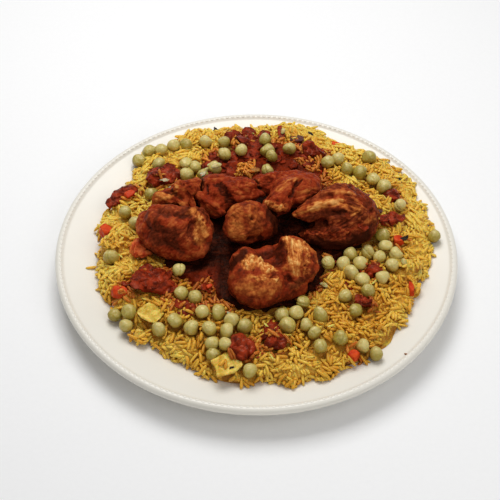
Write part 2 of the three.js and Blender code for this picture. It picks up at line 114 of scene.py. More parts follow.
def place_lamp(name, lamp):
    light = bpy.data.lights.new(name, "AREA")
    light.size = lamp["size"] * MM
    light.energy = lamp["watts"]
    holder = bpy.data.objects.new(name, light)
    holder.location = Vector(lamp["at"]) * MM
    holder.rotation_euler = (-holder.location).to_track_quat("-Z", "Y").to_euler()
    bpy.context.scene.collection.objects.link(holder)


world = bpy.data.worlds.new("white room")
world.use_nodes = True
walls = world.node_tree.nodes["Background"].inputs
walls["Color"].default_value = (1, 1, 1, 1)
walls["Strength"].default_value = ROOM_STRENGTH
bpy.context.scene.world = world
bpy.context.scene.view_settings.view_transform = "Standard"
place_lamp("key lamp", KEY_LAMP)
place_lamp("front lamp", FRONT_LAMP)

# %% [markdown]
# ## A small language for finishes
# A material is a graph of nodes, and a graph written node by node is hard to read. Here a socket is
# wrapped in a class that knows plus, minus and times, so `1 - mask * 0.5` writes its own Math nodes.
# Every other node comes from one method that is told the kind, its settings and what feeds it.

# %% Sockets that can be added and multiplied
class Wire:
    """A socket's value, for use in sums."""

    def __init__(self, finish, socket):
        self.finish = finish
        self.socket = socket

    def _sum(self, operation, first, second):
        return self.finish.node("Math", {"operation": operation}, {0: first, 1: second})

    def __add__(self, other):
        return self._sum("ADD", self, other)

    def __sub__(self, other):
        return self._sum("SUBTRACT", self, other)

    def __rsub__(self, other):
        return self._sum("SUBTRACT", other, self)

    def __mul__(self, other):
        return self._sum("MULTIPLY", self, other)

    __radd__ = __add__
    __rmul__ = __mul__


class Finish:
    """A material that is built node by node around one Principled shader."""

    def __init__(self, name, **constants):
        self.material = bpy.data.materials.new(name)
        self.material.use_nodes = True
        self.tree = self.material.node_tree
        self.shader = self.tree.nodes["Principled BSDF"]
        for socket, value in constants.items():
            self.shader.inputs[socket.replace("_", " ").title()].default_value = value

    def feed(self, socket, value):
        if isinstance(value, Wire):
            self.tree.links.new(value.socket, socket)
        elif socket.type == "RGBA":
            socket.default_value = (*value, 1)
        else:
            socket.default_value = value

    def node(self, kind, settings=None, inputs=None, output=0):
        made = self.tree.nodes.new("ShaderNode" + kind)
        for setting, value in (settings or {}).items():
            if setting == "stops":
                self.set_stops(made.color_ramp, value)
            else:
                setattr(made, setting, value)
        for socket, value in (inputs or {}).items():
            self.feed(made.inputs[socket], value)
        return Wire(self, made.outputs[output])

    def set_stops(self, ramp, stops):
        while len(ramp.elements) < len(stops):
            ramp.elements.new(1)
        for element, (position, value) in zip(ramp.elements, stops):
            element.position = position
            element.color = (*value, 1)

    def mix(self, share, first, second):
        return self.node("Mix", {"data_type": "RGBA"}, {0: share, 6: first, 7: second}, output=2)

    def ramp(self, value, *stops):
        return self.node("ValToRGB", {"stops": stops}, {"Fac": value})

    def window(self, value, low, high):
        """0 below low, 1 above high, and a smooth step between."""
        settings = {"interpolation_type": "SMOOTHSTEP"}
        return self.node("MapRange", settings, {"Value": value, "From Min": low, "From Max": high})

    def place(self):
        """Where the surface is, in mm."""
        where = self.node("TexCoord", output="Object")
        return self.node("Mapping", {}, {"Vector": where, "Scale": [1 / MM] * 3})

    def noise(self, size, detail=2, rough=0.5, where=None):
        """Lumps of about that size in mm, from 0 to 1."""
        where = where or self.place()
        inputs = {"Vector": where, "Scale": 1 / size, "Detail": detail, "Roughness": rough}
        return self.node("TexNoise", {}, inputs)

    def cells(self, size):
        """The distance from the middle of cells of about that size in mm, from 0 to 1."""
        return self.node("TexVoronoi", {}, {"Vector": self.place(), "Scale": 1 / size})

    def stored(self, name):
        """A number that was stored on the mesh under that name."""
        return self.node("Attribute", {"attribute_name": name}, output="Fac")

    def stored_place(self, name):
        """Three numbers that were stored on the mesh under that name."""
        return self.node("Attribute", {"attribute_name": name}, output="Vector")

    def bump(self, height, depth):
        """Feeds the shader's normal: height from 0 to 1 stands for that depth in mm."""
        inputs = {"Height": height, "Distance": depth * MM, "Strength": 1}
        self.feed(self.shader.inputs["Normal"], self.node("Bump", {}, inputs))

    def gloss(self, roughness, strength, tint=(1, 1, 1)):
        """How wide, how strong and of what colour the reflections are."""
        self.shader.inputs["Roughness"].default_value = roughness
        self.shader.inputs["Specular IOR Level"].default_value = strength
        self.shader.inputs["Specular Tint"].default_value = (*tint, 1)

    def paint(self, **sockets):
        for socket, value in sockets.items():
            self.feed(self.shader.inputs[socket.replace("_", " ").title()], value)
        return self.material


print("what a finish can do:", [word for word in vars(Finish) if not word.startswith("_")])

# %% [markdown]
# ## Meshes from arrays
# A solid of the frame is only a list of corners and triangles. Blender can edit it by hand, but ten
# thousand corners are moved more easily as one array, so a piece is worked out in NumPy and turned
# into a mesh at the end. The same function gives it its finish, its place on the body and the names
# of the solids that it stands for.

# %% Pieces from arrays and arrays from solids
def read_all(items, field, width, kind=float):
    """One field of all the corners or faces of a mesh, as rows of that width."""
    values = np.empty(len(items) * width, kind)
    items.foreach_get(field, values)
    return values.reshape(-1, width)


def solid_arrays(node):
    """The corners in mm and the triangles of a solid of the frame."""
    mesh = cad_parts[node].data
    mesh.calc_loop_triangles()
    return read_all(mesh.vertices, "co", 3) / MM, read_all(mesh.loop_triangles, "vertices", 3, int)


def joined(shapes):
    """Several (points, faces) as one."""
    points, faces, count = [], [], 0
    for some_points, some_faces in shapes:
        points.append(some_points)
        faces.append(np.asarray(some_faces) + count)
        count += len(some_points)
    return np.concatenate(points), np.concatenate(faces)


def make_mesh(name, points, faces):
    mesh = bpy.data.meshes.new(name)
    mesh.from_pydata((np.asarray(points) * MM).tolist(), [], np.asarray(faces).tolist())
    mesh.shade_smooth()
    return mesh


def make_piece(name, points, faces, finish, slot, replaces=(), **stored):
    """A piece of the dish: it rides on the one body and may stand for solids of the frame."""
    mesh = make_mesh(name, points, faces)
    for label, values in stored.items():
        values = np.float32(values)
        kind, field = ("FLOAT_VECTOR", "vector") if values.ndim == 2 else ("FLOAT", "value")
        mesh.attributes.new(label, kind, "POINT").data.foreach_set(field, values.ravel())
    mesh.materials.append(finish)
    piece = bpy.data.objects.new(name, mesh)
    bpy.context.scene.collection.objects.link(piece)
    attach(piece, "root")
    if replaces:
        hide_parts(*replaces)
    print(f"{name}: {len(points)} points, {len(faces)} faces")


# %% Noise for shapes
NOISE_PRIMES = np.array([73856093, 19349663, 83492791])
NOISE_TABLE = np.random.default_rng(3).random(4096)


def lumps(points, size, seed=0):
    """Smooth noise from -1 to 1 with lumps of about that size, at points in two or three dimensions."""
    cell = np.asarray(points, float) / size + seed * 17.3
    low = np.floor(cell).astype(np.int64)
    part = cell - low
    part = part * part * (3 - 2 * part)
    total = np.zeros(len(cell))
    for corner in product((0, 1), repeat=cell.shape[1]):
        key = np.bitwise_xor.reduce((low + corner) * NOISE_PRIMES[: cell.shape[1]], axis=1)
        weight = np.prod(np.where(corner, part, 1 - part), axis=1)
        total += weight * NOISE_TABLE[key % len(NOISE_TABLE)]
    return 2 * total - 1


def flat_lumps(x, y, size, seed):
    """The same noise at places on the plate."""
    return lumps(np.column_stack([np.ravel(x), np.ravel(y)]), size, seed).reshape(np.shape(x))


def stepped(values, low, high):
    """0 below low, 1 above high, and a smooth step between."""
    share = np.clip((values - low) / (high - low), 0, 1)
    return share * share * (3 - 2 * share)


print("noise at the origin:", lumps(np.zeros((1, 3)), 5).round(3))

# %% [markdown]
# ## The plate
# A glazed plate is turned on a wheel, so its section says it all: foot ring, well, sloping rim and a
# rolled lip. Blender's Screw modifier could turn it, but an array of rings does the same and gives
# exact control of the roundings. Real glaze pools in corners, so every corner is rounded a little.

# %% The plate's section
FOOT_RING = (76, 83)
FOOT_HOLLOW = 2.2
WELL_FLOOR = 6.4
WELL_RADIUS = 80
RIM_START = (97, 12.2)
RIM_THICKNESS = 4
LIP_RADIUS = 2.8
LIP_STEP = 1.4
LIP_CENTRE = (PLATE_RADIUS - LIP_RADIUS, PLATE_HEIGHT - LIP_RADIUS)
RIM_END = (LIP_CENTRE[0] - LIP_RADIUS, PLATE_HEIGHT - LIP_STEP)
PLATE_TOP = [(0, WELL_FLOOR), (WELL_RADIUS, WELL_FLOOR), RIM_START, RIM_END]
FOOT_BENDS = 1.2
WELL_BENDS = 9
BEND_POINTS = 6
PLATE_COUNT = 256


def plate_top(radius):
    """The height of the plate's upper side at a distance from its centre."""
    return np.interp(radius, *np.transpose(PLATE_TOP))


def rounded(corners, size):
    """The line through the corners, where a bend that starts that far from it replaces each inner one."""
    corners = np.asarray(corners, float)
    line = [corners[0]]
    for before, corner, after in zip(corners, corners[1:], corners[2:]):
        reach = min(size, np.linalg.norm(before - corner) / 2.2, np.linalg.norm(after - corner) / 2.2)
        start = corner + (before - corner) / np.linalg.norm(before - corner) * reach
        end = corner + (after - corner) / np.linalg.norm(after - corner) * reach
        for share in np.linspace(0, 1, BEND_POINTS):
            line.append((1 - share) ** 2 * start + 2 * share * (1 - share) * corner + share**2 * end)
    line.append(corners[-1])
    return np.array(line)


def circle(count):
    """So many (x, y) points on a circle of radius 1."""
    angle = np.arange(count) * 2 * math.pi / count
    return np.column_stack([np.cos(angle), np.sin(angle)])


def turned(line, count):
    """A section of (radius, height) points turned round the Z axis, with its ends on the axis."""
    ways = circle(count)
    rings = [np.column_stack([radius * ways, np.full(count, height)]) for radius, height in line[1:-1]]
    return closed(line[0][1], rings, line[-1][1])


def closed(low, rings, high):
    """Rings of points closed by a point on the Z axis at both ends, as (points, triangles)."""
    points = np.concatenate([[(0, 0, low)], *rings, [(0, 0, high)]])
    return points, ring_faces(len(rings), len(rings[0]))


def ring_faces(rings, count):
    """Triangles between the rings and the two end points of a closed shape."""
    here = np.arange(count)
    after = (here + 1) % count
    last = 1 + rings * count
    faces = [np.column_stack([np.zeros(count, int), 1 + after, 1 + here])]
    for ring in range(rings - 1):
        a, b = 1 + ring * count + here, 1 + ring * count + after
        c, d = b + count, a + count
        faces += [np.column_stack([a, b, c]), np.column_stack([a, c, d])]
    top = last - count
    faces.append(np.column_stack([top + here, top + after, np.full(count, last)]))
    return np.concatenate(faces)


lip_angles = np.radians(np.linspace(-75, 150, 14))
lip_line = LIP_CENTRE + LIP_RADIUS * np.column_stack([np.cos(lip_angles), np.sin(lip_angles)])
foot_line = [(0, FOOT_HOLLOW), (74.5, FOOT_HOLLOW), (FOOT_RING[0], 0), (FOOT_RING[1], 0), (86.5, 3)]
under_line = rounded([*foot_line, (98, RIM_START[1] - RIM_THICKNESS), lip_line[0]], FOOT_BENDS)
upper_line = rounded([lip_line[-1], (RIM_END[0] - 1.5, RIM_END[1] - 0.5), *PLATE_TOP[2::-1]], WELL_BENDS)
plate_line = np.concatenate([under_line[:-1], lip_line, upper_line[1:]])
print("points on the plate's section:", len(plate_line))

# %% [markdown]
# ### Cream glaze
# The glaze is warm white and only half shiny. It is a Principled shader with a pale base that drifts
# a little in tone, and a bump so weak that it only makes the reflections waver, as on hand-dipped ware.

# %% Cream glaze
def cream_glaze():
    finish = Finish("cream_glaze", roughness=0.3)
    drift = finish.noise(38, detail=3)
    finish.bump(finish.noise(9, detail=1), 0.03)
    return finish.paint(base_color=finish.mix(drift, (0.79, 0.752, 0.663), (0.85, 0.815, 0.73)))


GLAZE = cream_glaze()
make_piece("glazed_plate", *turned(plate_line, PLATE_COUNT), GLAZE, "glaze", ["plate"])

# %% [markdown]
# ### The row of pearls
# Small oval pearls stand along the lip. They are too fine for the solid, so they are made here: one
# low oval bead is copied round the rim by a formula, and all of them are one mesh.

# %% The row of pearls
PEARL_PITCH = 3.9
PEARL_HALF = (1.5, 0.95, 0.45)
PEARL_RADIUS = LIP_CENTRE[0] - 0.6
PEARL_LEVEL = LIP_CENTRE[1] + LIP_RADIUS * 0.9
PEARL_RINGS = 7
PEARL_SIDES = 10


def pearl_row():
    tilt = np.linspace(-math.pi / 2, math.pi / 2, PEARL_RINGS)
    ball, faces = turned(np.column_stack([np.cos(tilt), np.sin(tilt)]), PEARL_SIDES)
    bead = ball * PEARL_HALF
    beads = []
    for x, y in circle(round(2 * math.pi * PEARL_RADIUS / PEARL_PITCH)):
        turn = np.array([(y, -x, 0), (x, y, 0), (0, 0, 1)])
        middle = (x * PEARL_RADIUS, y * PEARL_RADIUS, PEARL_LEVEL)
        beads.append((middle + bead @ turn, faces))
    return joined(beads)


make_piece("rim_pearls", *pearl_row(), GLAZE, "glaze")

# %% [markdown]
# ## Where the food lies
# The heap of rice and the sauce are solids whose outline changes with the direction from the plate's
# middle. Rather than repeat that outline, it is measured on the frame: in each direction, how far
# does the solid reach? The height of the bed then follows one curve from its crown to its edge.

# %% The heap's outline and height
RICE_CROWN = 27.2
BED_LINE = [(0, RICE_CROWN), (0.58, RICE_CROWN), (0.75, 26.2), (0.86, 24.8), (0.94, 22.6), (1, 19.2)]
DIRECTIONS = 120


def reach_by_direction(node, spread=3):
    """How far a solid's corners reach from the Z axis, in DIRECTIONS directions."""
    points = solid_arrays(node)[0]
    sector = np.degrees(np.arctan2(points[:, 1], points[:, 0])) % 360
    middle = np.arange(DIRECTIONS) * 360 / DIRECTIONS
    apart = np.abs((sector[None, :] - middle[:, None] + 180) % 360 - 180)
    return np.where(apart < spread, np.hypot(*points[:, :2].T)[None, :], 0).max(1)


RICE_REACH = reach_by_direction("rice_bed")
SAUCE_REACH = reach_by_direction("sauce", spread=6)


def outline(reach, x, y):
    """The reach in the direction of each point."""
    sector = np.degrees(np.arctan2(y, x)) % 360
    return np.interp(sector, np.arange(DIRECTIONS + 1) * 360 / DIRECTIONS, [*reach, reach[0]])


def bed_height(x, y):
    """The smooth height of the bed of rice."""
    return np.interp(np.hypot(x, y) / outline(RICE_REACH, x, y), *np.transpose(BED_LINE))


print("rice reaches:", RICE_REACH.min().round(1), "to", RICE_REACH.max().round(1), "mm")

# %% [markdown]
# ## Peas
# Cooked peas are not balls. Each has a flat cheek or two where the skin sank in, fine wrinkles, and
# sometimes a split. The peas that lie loose are solids of the frame, so their middles and sizes come
# from there. The half-sunk ones are part of the rice solid, and their places are listed and
# then eased off their neighbours. All of them are made as one mesh from a few moulds.

# %% Where the peas are
PEA_RADIUS = 4.7
PEA_STANDS = 0.62
PEA_SQUEEZE = 0.9
PEA_TO_CHICKEN = 0.8
EASING_ROUNDS = 40


def nodes_called(*starts):
    """The names of the frame's solids that start so, in order."""
    return sorted(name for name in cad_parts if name.startswith(starts))


LOOSE_PEAS = nodes_called("pea_")
CHICKEN = nodes_called("chicken_")
CHUNKS = nodes_called("tomato_", "pepper_")
ONIONS = nodes_called("onion_")
HALF_SUNK_PEAS = [
    (-77, 87), (-85, 80), (-70, 87), (-70, 71), (-52, 92), (-38, 95), (-25, 94), (-51, 71), (-44, 67),
    (-50, 58), (-73, 40), (-90, 23), (57, 78), (72, 64), (88, 51), (79, 83), (74, -12), (62, -14),
    (57, -24), (81, -16), (92, -12), (89, -22), (63, -31), (57, -50), (68, -36), (84, 3),
    (17, -67), (41, -66), (20, -75), (32, -74), (-7, -76), (37, -80),
    (53, -83), (40, -90), (67, -87), (-3, -107), (-96, -17), (-48, -50), (-39, -53),
    (-24, -66), (-15, -72), (-82, -62), (-82, -71), (-61, -76), (-40, -77), (-29, -78), (-18, -80),
    (-27, -89), (-26, -96), (6, 89),
]


def loose_peas():
    """The middle and radius of each loose pea of the frame, as rows of x, y, z, radius."""
    corners = np.array([[*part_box(name)[0], *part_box(name)[1]] for name in LOOSE_PEAS]) / MM
    low, high = corners[:, :3], corners[:, 3:]
    return np.column_stack([(low + high) / 2, (high - low).mean(1) / 2])


def search_tree(nodes):
    """The triangles of some solids in a tree that finds the nearest one quickly."""
    points, triangles = joined([solid_arrays(node) for node in nodes])
    return BVHTree.FromPolygons(points.tolist(), triangles.tolist())


def half_sunk_peas(others):
    """The peas that are half in the rice, pushed off the loose ones and a little off each other."""
    rng = np.random.default_rng(5)
    peas = np.array([(x, y, 0, PEA_RADIUS * rng.uniform(0.9, 1.08)) for x, y in HALF_SUNK_PEAS])
    chicken = search_tree(CHICKEN)
    for _ in range(EASING_ROUNDS):
        peas[:, 2] = bed_height(peas[:, 0], peas[:, 1]) + PEA_STANDS * peas[:, 3]
        for pea in peas:
            nearby = np.concatenate([others, peas])
            gap = np.linalg.norm(nearby[:, :2] - pea[:2], axis=1)
            squeezed = np.where(np.arange(len(nearby)) < len(others), 1.0, PEA_SQUEEZE)
            wanted = (nearby[:, 3] + pea[3]) * squeezed
            close = (gap > 0.01) & (gap < wanted)
            push = (pea[:2] - nearby[close, :2]) / gap[close, None] * (wanted - gap)[close, None]
            pea[:2] += 0.5 * push.sum(0)
            touch, _, _, distance = chicken.find_nearest(Vector(pea[:3]))
            if distance < pea[3] + PEA_TO_CHICKEN:
                away = pea[:2] - np.array(touch[:2])
                pea[:2] += away / np.linalg.norm(away) * (pea[3] + PEA_TO_CHICKEN - distance) / 2
    return peas


resting_peas = loose_peas()
sunk_peas = half_sunk_peas(resting_peas)
all_peas = np.concatenate([resting_peas, sunk_peas])
print("loose peas:", len(resting_peas), "half sunk:", len(sunk_peas))

# %% The moulds of the peas
PEA_MOULDS = 12


def icosphere(steps):
    """An evenly split unit ball as (points, triangles)."""
    mesh = bpy.data.meshes.new("ball")
    shape = bmesh.new()
    bmesh.ops.create_icosphere(shape, subdivisions=steps, radius=1)
    shape.to_mesh(mesh)
    shape.free()
    points = read_all(mesh.vertices, "co", 3)
    triangles = read_all(mesh.loops, "vertex_index", 1, int).reshape(-1, 3)
    bpy.data.meshes.remove(mesh)
    return points, triangles


def unit(vectors):
    return vectors / np.linalg.norm(vectors, axis=-1, keepdims=True)


def pea_mould(ball_points, seed):
    """A unit ball with sunken cheeks, wrinkles, a seam and sometimes a split."""
    rng = np.random.default_rng(seed)
    depth = 0.08 * lumps(ball_points, 0.9, seed)
    for _ in range(4):
        cheek = unit(rng.normal(size=3))
        depth -= rng.uniform(0.05, 0.2) * stepped(ball_points @ cheek, 0.6, 1.0)
    wrinkled = rng.uniform(0.2, 1) * stepped(lumps(ball_points, 1.1, seed + 40), -0.4, 0.5)
    depth -= 0.12 * wrinkled * np.abs(lumps(ball_points, 0.38, seed + 9))
    seam = unit(rng.normal(size=3))
    if seed % 4 == 1:
        depth -= 0.16 * np.exp(-(((ball_points @ seam) / 0.07) ** 2))
    squash = np.eye(3) + rng.uniform(-0.14, 0.16) * np.outer(seam, seam)
    shape = (ball_points * (1 + depth)[:, None]) @ squash
    return shape / np.linalg.norm(shape, axis=1).mean()


pea_ball, pea_triangles = icosphere(4)
pea_moulds = [pea_mould(pea_ball, seed) for seed in range(PEA_MOULDS)]
print("points in a pea:", len(pea_ball))

# %% [markdown]
# ### Pea skin
# A cooked pea has lost its bright green: its skin is a grey olive with a pale bloom in patches, and each
# pea has another tone. The tone is a number that is stored on the mesh for each pea, so that one
# material can serve them all. So is the height on the pea: each pea is painted paler on top, as a painted
# highlight where light from above falls, and darker below, as painted shade.

# %% Pea skin
def pea_skin():
    finish = Finish("pea_skin", subsurface_weight=0.12, subsurface_scale=0.002)
    finish.gloss(0.33, 0.6, (1, 0.95, 0.75))
    tone = finish.stored("tone")
    mottle = finish.noise(2.2, detail=3)
    plain = finish.mix(tone, (0.36, 0.27, 0.033), (0.66, 0.51, 0.11))
    # Pale bloom in patches, and paler on top as a painted highlight.
    bloom_and_top_light = finish.window(mottle * 0.8 + finish.stored("top") * 0.3 + (tone - 0.5) * 0.2, 0.38, 0.85) * 0.8
    skin = finish.mix(bloom_and_top_light, plain, (0.67, 0.56, 0.23))
    # Painted shade: darker below, towards the bottom of each pea.
    underside_shade = finish.window(finish.stored("top") + mottle * 0.3, 0.45, -0.5)
    skin = finish.mix(underside_shade * 0.75, skin, (0.25, 0.16, 0.02))
    finish.bump(finish.noise(1.3, detail=2), 0.4)
    return finish.paint(base_color=skin)


def random_turn(rng):
    """A random turn in space as a matrix."""
    return np.array(Quaternion(unit(rng.normal(size=4))).to_matrix())


def make_peas():
    rng = np.random.default_rng(8)
    shapes, tones, tops = [], [], []
    for i, (x, y, z, radius) in enumerate(all_peas):
        mould = pea_moulds[i % PEA_MOULDS] @ random_turn(rng)
        shapes.append((mould * radius + (x, y, z), pea_triangles))
        tones.append(np.full(len(mould), rng.uniform()))
        tops.append(mould[:, 2])
    stored = {"tone": np.concatenate(tones), "top": np.concatenate(tops)}
    make_piece("peas", *joined(shapes), pea_skin(), "pea", LOOSE_PEAS, **stored)


make_peas()

# %% [markdown]
# ## The bed of rice
# A heap of rice is thousands of grains, each lying on the ones below. A particle system would only
# stick grains to a surface, and a rigid-body simulation of thousands is slow. Here every grain is
# dropped on a map of heights: it comes to rest on the highest point on each side of its middle, as a
# stick does on stones, and then the map is raised by its own back. Cooked grains are soft, so each one
# sinks a little into the ones below. That gives true piling, and the same heap in every run.

# %% A map of heights over the plate
CELL = 0.5
MAP_SIDE = 560
CORE_DEPTH = 2.3
RAY_STEP = 2
RAY_START = 100
PEA_SHADOW = 0.92
BLUR_ROUNDS = 3
cell_middle = (np.arange(MAP_SIDE) - MAP_SIDE / 2 + 0.5) * CELL
map_x, map_y = np.meshgrid(cell_middle, cell_middle, indexing="ij")
map_r = np.hypot(map_x, map_y)
inside_rice = map_r / outline(RICE_REACH, map_x, map_y)
inside_sauce = map_r / outline(SAUCE_REACH, map_x, map_y)


def map_index(x, y):
    """The cell of the map at a place."""
    cells = [(np.asarray(part) / CELL + MAP_SIDE / 2).astype(int) for part in (x, y)]
    return tuple(np.clip(cell, 0, MAP_SIDE - 1) for cell in cells)


def map_part(x, y, reach):
    """The cells of the map round a place, as a slice."""
    (i0, i1), (j0, j1) = map_index([x - reach, x + reach], [y - reach, y + reach])
    return np.s_[i0 : i1 + 1, j0 : j1 + 1]


def seen_from_above(nodes):
    """The height of the highest of these solids at every cell, or zero where there is none."""
    heights = np.zeros((MAP_SIDE, MAP_SIDE))
    for node in nodes:
        tree = search_tree([node])
        flat = solid_arrays(node)[0][:, :2]
        (x0, x1), (y0, y1) = map_index(*np.array([flat.min(0) - 1, flat.max(0) + 1]).T)
        for i in range(x0 - x0 % RAY_STEP, x1 + 1, RAY_STEP):
            for j in range(y0 - y0 % RAY_STEP, y1 + 1, RAY_STEP):
                start = Vector((cell_middle[i] + CELL / 2, cell_middle[j] + CELL / 2, RAY_START))
                hit = tree.ray_cast(start, Vector((0, 0, -1)))[0]
                if hit:
                    block = heights[i : i + RAY_STEP, j : j + RAY_STEP]
                    np.maximum(block, hit.z, out=block)
    return heights


def seen_peas(peas):
    """The height of the peas at every cell, or zero."""
    heights = np.zeros((MAP_SIDE, MAP_SIDE))
    for x, y, z, radius in peas:
        part = map_part(x, y, radius)
        off = np.hypot(map_x[part] - x, map_y[part] - y)
        top = np.where(off < PEA_SHADOW * radius, z + np.sqrt(np.maximum(radius**2 - off**2, 0)), 0)
        heights[part] = np.maximum(heights[part], top)
    return heights


def blurred(field, reach):
    """The field with every cell averaged over its neighbours, several times."""
    width = int(reach / CELL)
    for _ in range(BLUR_ROUNDS):
        for axis in (0, 1):
            total = np.cumsum(np.concatenate([np.zeros_like(field.take([0], axis)), field], axis), axis)
            ends = np.clip(np.arange(MAP_SIDE) + width, 0, MAP_SIDE)
            starts = np.clip(np.arange(MAP_SIDE) - width, 0, MAP_SIDE)
            field = (total.take(ends, axis) - total.take(starts, axis)) / (2 * width)
    return field


chicken_above = seen_from_above(CHICKEN)
chunks_above = seen_from_above(CHUNKS)
onions_above = seen_from_above(ONIONS)
vegetables_above = np.maximum(chunks_above, onions_above)
obstacles = np.maximum.reduce([chicken_above, vegetables_above, seen_peas(all_peas)])
level_around = blurred(np.maximum(chicken_above, bed_height(map_x, map_y)), 5)
for label, above in {"chicken": chicken_above, "vegetables": vegetables_above}.items():
    print(f"cells under {label}:", int((above > 0).sum()))

# %% [markdown]
# ### The uneven top
# A spoon leaves the rice in clumps of about a finger's width with clefts between them. Towards the
# plate it slopes down to single grains. It is banked up against the vegetables, covers half of each
# onion and a little of the tomatoes and peppers, sinks in round the peas, and a few spoonfuls lie on
# the sauce.

# %% The uneven top of the bed
BED_SWELL = 1.7
CLEFT_DEPTH = 2.4
EDGE_SLOPE = 1.1
EDGE_GRAIN = 1.3
BANKED_UP = 1.2
ROUND_PEAS = 1.0
ON_VEGETABLES = 1.3
NIBBLED_EDGE = [(88, -82, 11), (-94, -70, 8), (8, -124, 9), (-62, 92, 7)]
NIBBLE_DEPTH = 0.16
RAGGED_REACH = 1.008
RICE_ON_SAUCE = [(-8, 66, 7), (38, 74, 8), (-31, -47, 5)]
RICE_ON_SAUCE_DEPTH = 1.6


def map_lumps(size, seed):
    """Smooth noise over the whole map."""
    return flat_lumps(map_x, map_y, size, seed)


def soft_spot(x, y, reach):
    """A soft round spot on the map: 1 in its middle and less outwards."""
    return np.exp(-((map_x - x) ** 2 + (map_y - y) ** 2) / reach**2)


swell = BED_SWELL * (map_lumps(17, 2) + 0.6 * map_lumps(8, 3))
clefts = CLEFT_DEPTH * np.exp(-((map_lumps(11, 9) / 0.17) ** 2))
bed_target = bed_height(map_x, map_y) + (swell - clefts) * stepped(1.02 - inside_rice, 0, 0.12)
ragged_rice = inside_rice + (0.016 * map_lumps(5, 10) + 0.014 * map_lumps(12, 12))
for x, y, reach in NIBBLED_EDGE:
    ragged_rice += NIBBLE_DEPTH * soft_spot(x, y, reach)
inward = np.maximum(1.015 - ragged_rice, 0) * map_r
bed_target = np.minimum(bed_target, plate_top(map_r) + EDGE_GRAIN + EDGE_SLOPE * inward)
bed_floor = np.where(ragged_rice < 0.965, bed_target - CORE_DEPTH, 0)
bed_floor = np.maximum(bed_floor, plate_top(map_r))

# %% What lies in the rice and on it
bed_target = np.where(ragged_rice < RAGGED_REACH, bed_target, 0)
bed_target -= ROUND_PEAS * (seen_peas(sunk_peas + (0, 0, 0, 3)) > 0)
bed_target += BANKED_UP * stepped(blurred((vegetables_above > 0) * 1.0, 1.5), 0.1, 0.5)
ragged_sauce = inside_sauce + 0.14 * map_lumps(8, 4)
for x, y, radius in RICE_ON_SAUCE:
    spoonful = np.hypot(map_x - x, map_y - y) < radius * (1 + 0.5 * map_lumps(5, 13))
    ragged_sauce[spoonful] = 1
    bed_target[spoonful] += RICE_ON_SAUCE_DEPTH
for above, least in ((onions_above, 0.15), (chunks_above, 0.85)):
    strewn = (above > 0) & (map_lumps(6, 14) > least)
    bed_target = np.where(strewn, above + ON_VEGETABLES, bed_target)
bed_target = np.where((ragged_sauce < 0.93) | (chicken_above > 0), 0, bed_target)
loose = bed_target > bed_floor
print("mean depth of loose grains in mm:", float((bed_target - bed_floor)[loose].mean().round(2)))

# %% Dropping the grains
GRAIN_LENGTH = 7.7
GRAIN_WIDTH = 2.35
GRAIN_LENGTHS = (0.4, 0.6, 0.75, 0.9, 1, 1.1)
GRAIN_SINK = 0.25
GRAIN_TRIES = 9000
CHOICES = 10
STEEPEST = 0.75
TURNS_TRIED = np.array([0, -0.35, 0.35])
TALLEST_PERCH = 2.4


def grain_profile(share):
    """The half width of a grain at a share of its half length, from -1 to 1."""
    return np.maximum(1 - np.abs(share) ** 4, 0) ** 0.48


def resting_line(steps, needed):
    """Height in the middle and slope of a stick that rests on the needed heights at steps from its middle."""
    middle = len(steps) // 2
    left, right = steps[:middle, None], steps[None, middle + 1 :]
    low, high = needed[:middle, None], needed[None, middle + 1 :]
    slope = (high - low) / (right - left)
    at_middle = low - slope * left
    i, j = np.unravel_index(np.argmax(at_middle), at_middle.shape)
    return max(at_middle[i, j], needed[middle]), float(np.clip(slope[i, j], -STEEPEST, STEEPEST))


def lowest_rest(heap, x, y, headings, length, width):
    """The height, slope and heading of a grain in the one of several headings where it lies lowest."""
    shares = np.linspace(-0.9, 0.9, 7)
    steps = shares * length / 2
    over_x = x + np.outer(np.cos(headings), steps)
    over_y = y + np.outer(np.sin(headings), steps)
    needed = heap[map_index(over_x, over_y)] + grain_profile(shares) * width * GRAIN_SINK
    rests = [(*resting_line(steps, row), heading) for row, heading in zip(needed, headings)]
    return min(rests, key=lambda rest: rest[0] + 1.5 * abs(rest[1]))


def raise_heap(heap, x, y, height, slope, heading, length, width):
    """Raises the map of heights by the back of a grain that has come to rest."""
    direction = np.array([math.cos(heading), math.sin(heading)])
    flat = 1 / math.hypot(1, slope)
    part = map_part(x, y, length / 2)
    dx, dy = map_x[part] - x, map_y[part] - y
    along = (dx * direction[0] + dy * direction[1]) / flat
    across = dx * direction[1] - dy * direction[0]
    half = grain_profile(np.clip(2 * along / length, -1, 1)) * width / 2
    back = height + along * flat * slope + np.sqrt(np.maximum(half**2 - across**2, 0))
    heap[part] = np.where(np.abs(across) < half, np.maximum(heap[part], back), heap[part])


def random_places(rng, count):
    angle = rng.uniform(0, 2 * math.pi, count)
    radius = np.sqrt(rng.uniform(0.14, 1, count)) * (RICE_REACH.max() + 2)
    return np.column_stack([radius * np.cos(angle), radius * np.sin(angle)])


def pile_of_grains():
    """Rows of x, y, z, heading, slope, length and width of every grain."""
    rng = np.random.default_rng(21)
    heap = np.maximum(bed_floor, obstacles)
    grains = []
    for _ in range(GRAIN_TRIES):
        places = random_places(rng, CHOICES)
        cells = map_index(places[:, 0], places[:, 1])
        missing = bed_target[cells] - heap[cells]
        x, y = places[np.argmax(missing)]
        clump = 2 * math.pi * flat_lumps(x, y, 13, 6)
        headings = clump + rng.normal(0, 0.7) + TURNS_TRIED
        length = GRAIN_LENGTH * rng.choice(GRAIN_LENGTHS) * rng.uniform(0.92, 1.08)
        width = GRAIN_WIDTH * rng.uniform(0.82, 1.14)
        if missing.max() < 0.2:
            continue
        height, slope, heading = lowest_rest(heap, x, y, headings, length, width)
        if height > bed_target[map_index(x, y)] + TALLEST_PERCH:
            continue
        raise_heap(heap, x, y, height, slope, heading, length, width)
        grains.append((x, y, height, heading, slope, length, width))
    return np.array(grains), heap


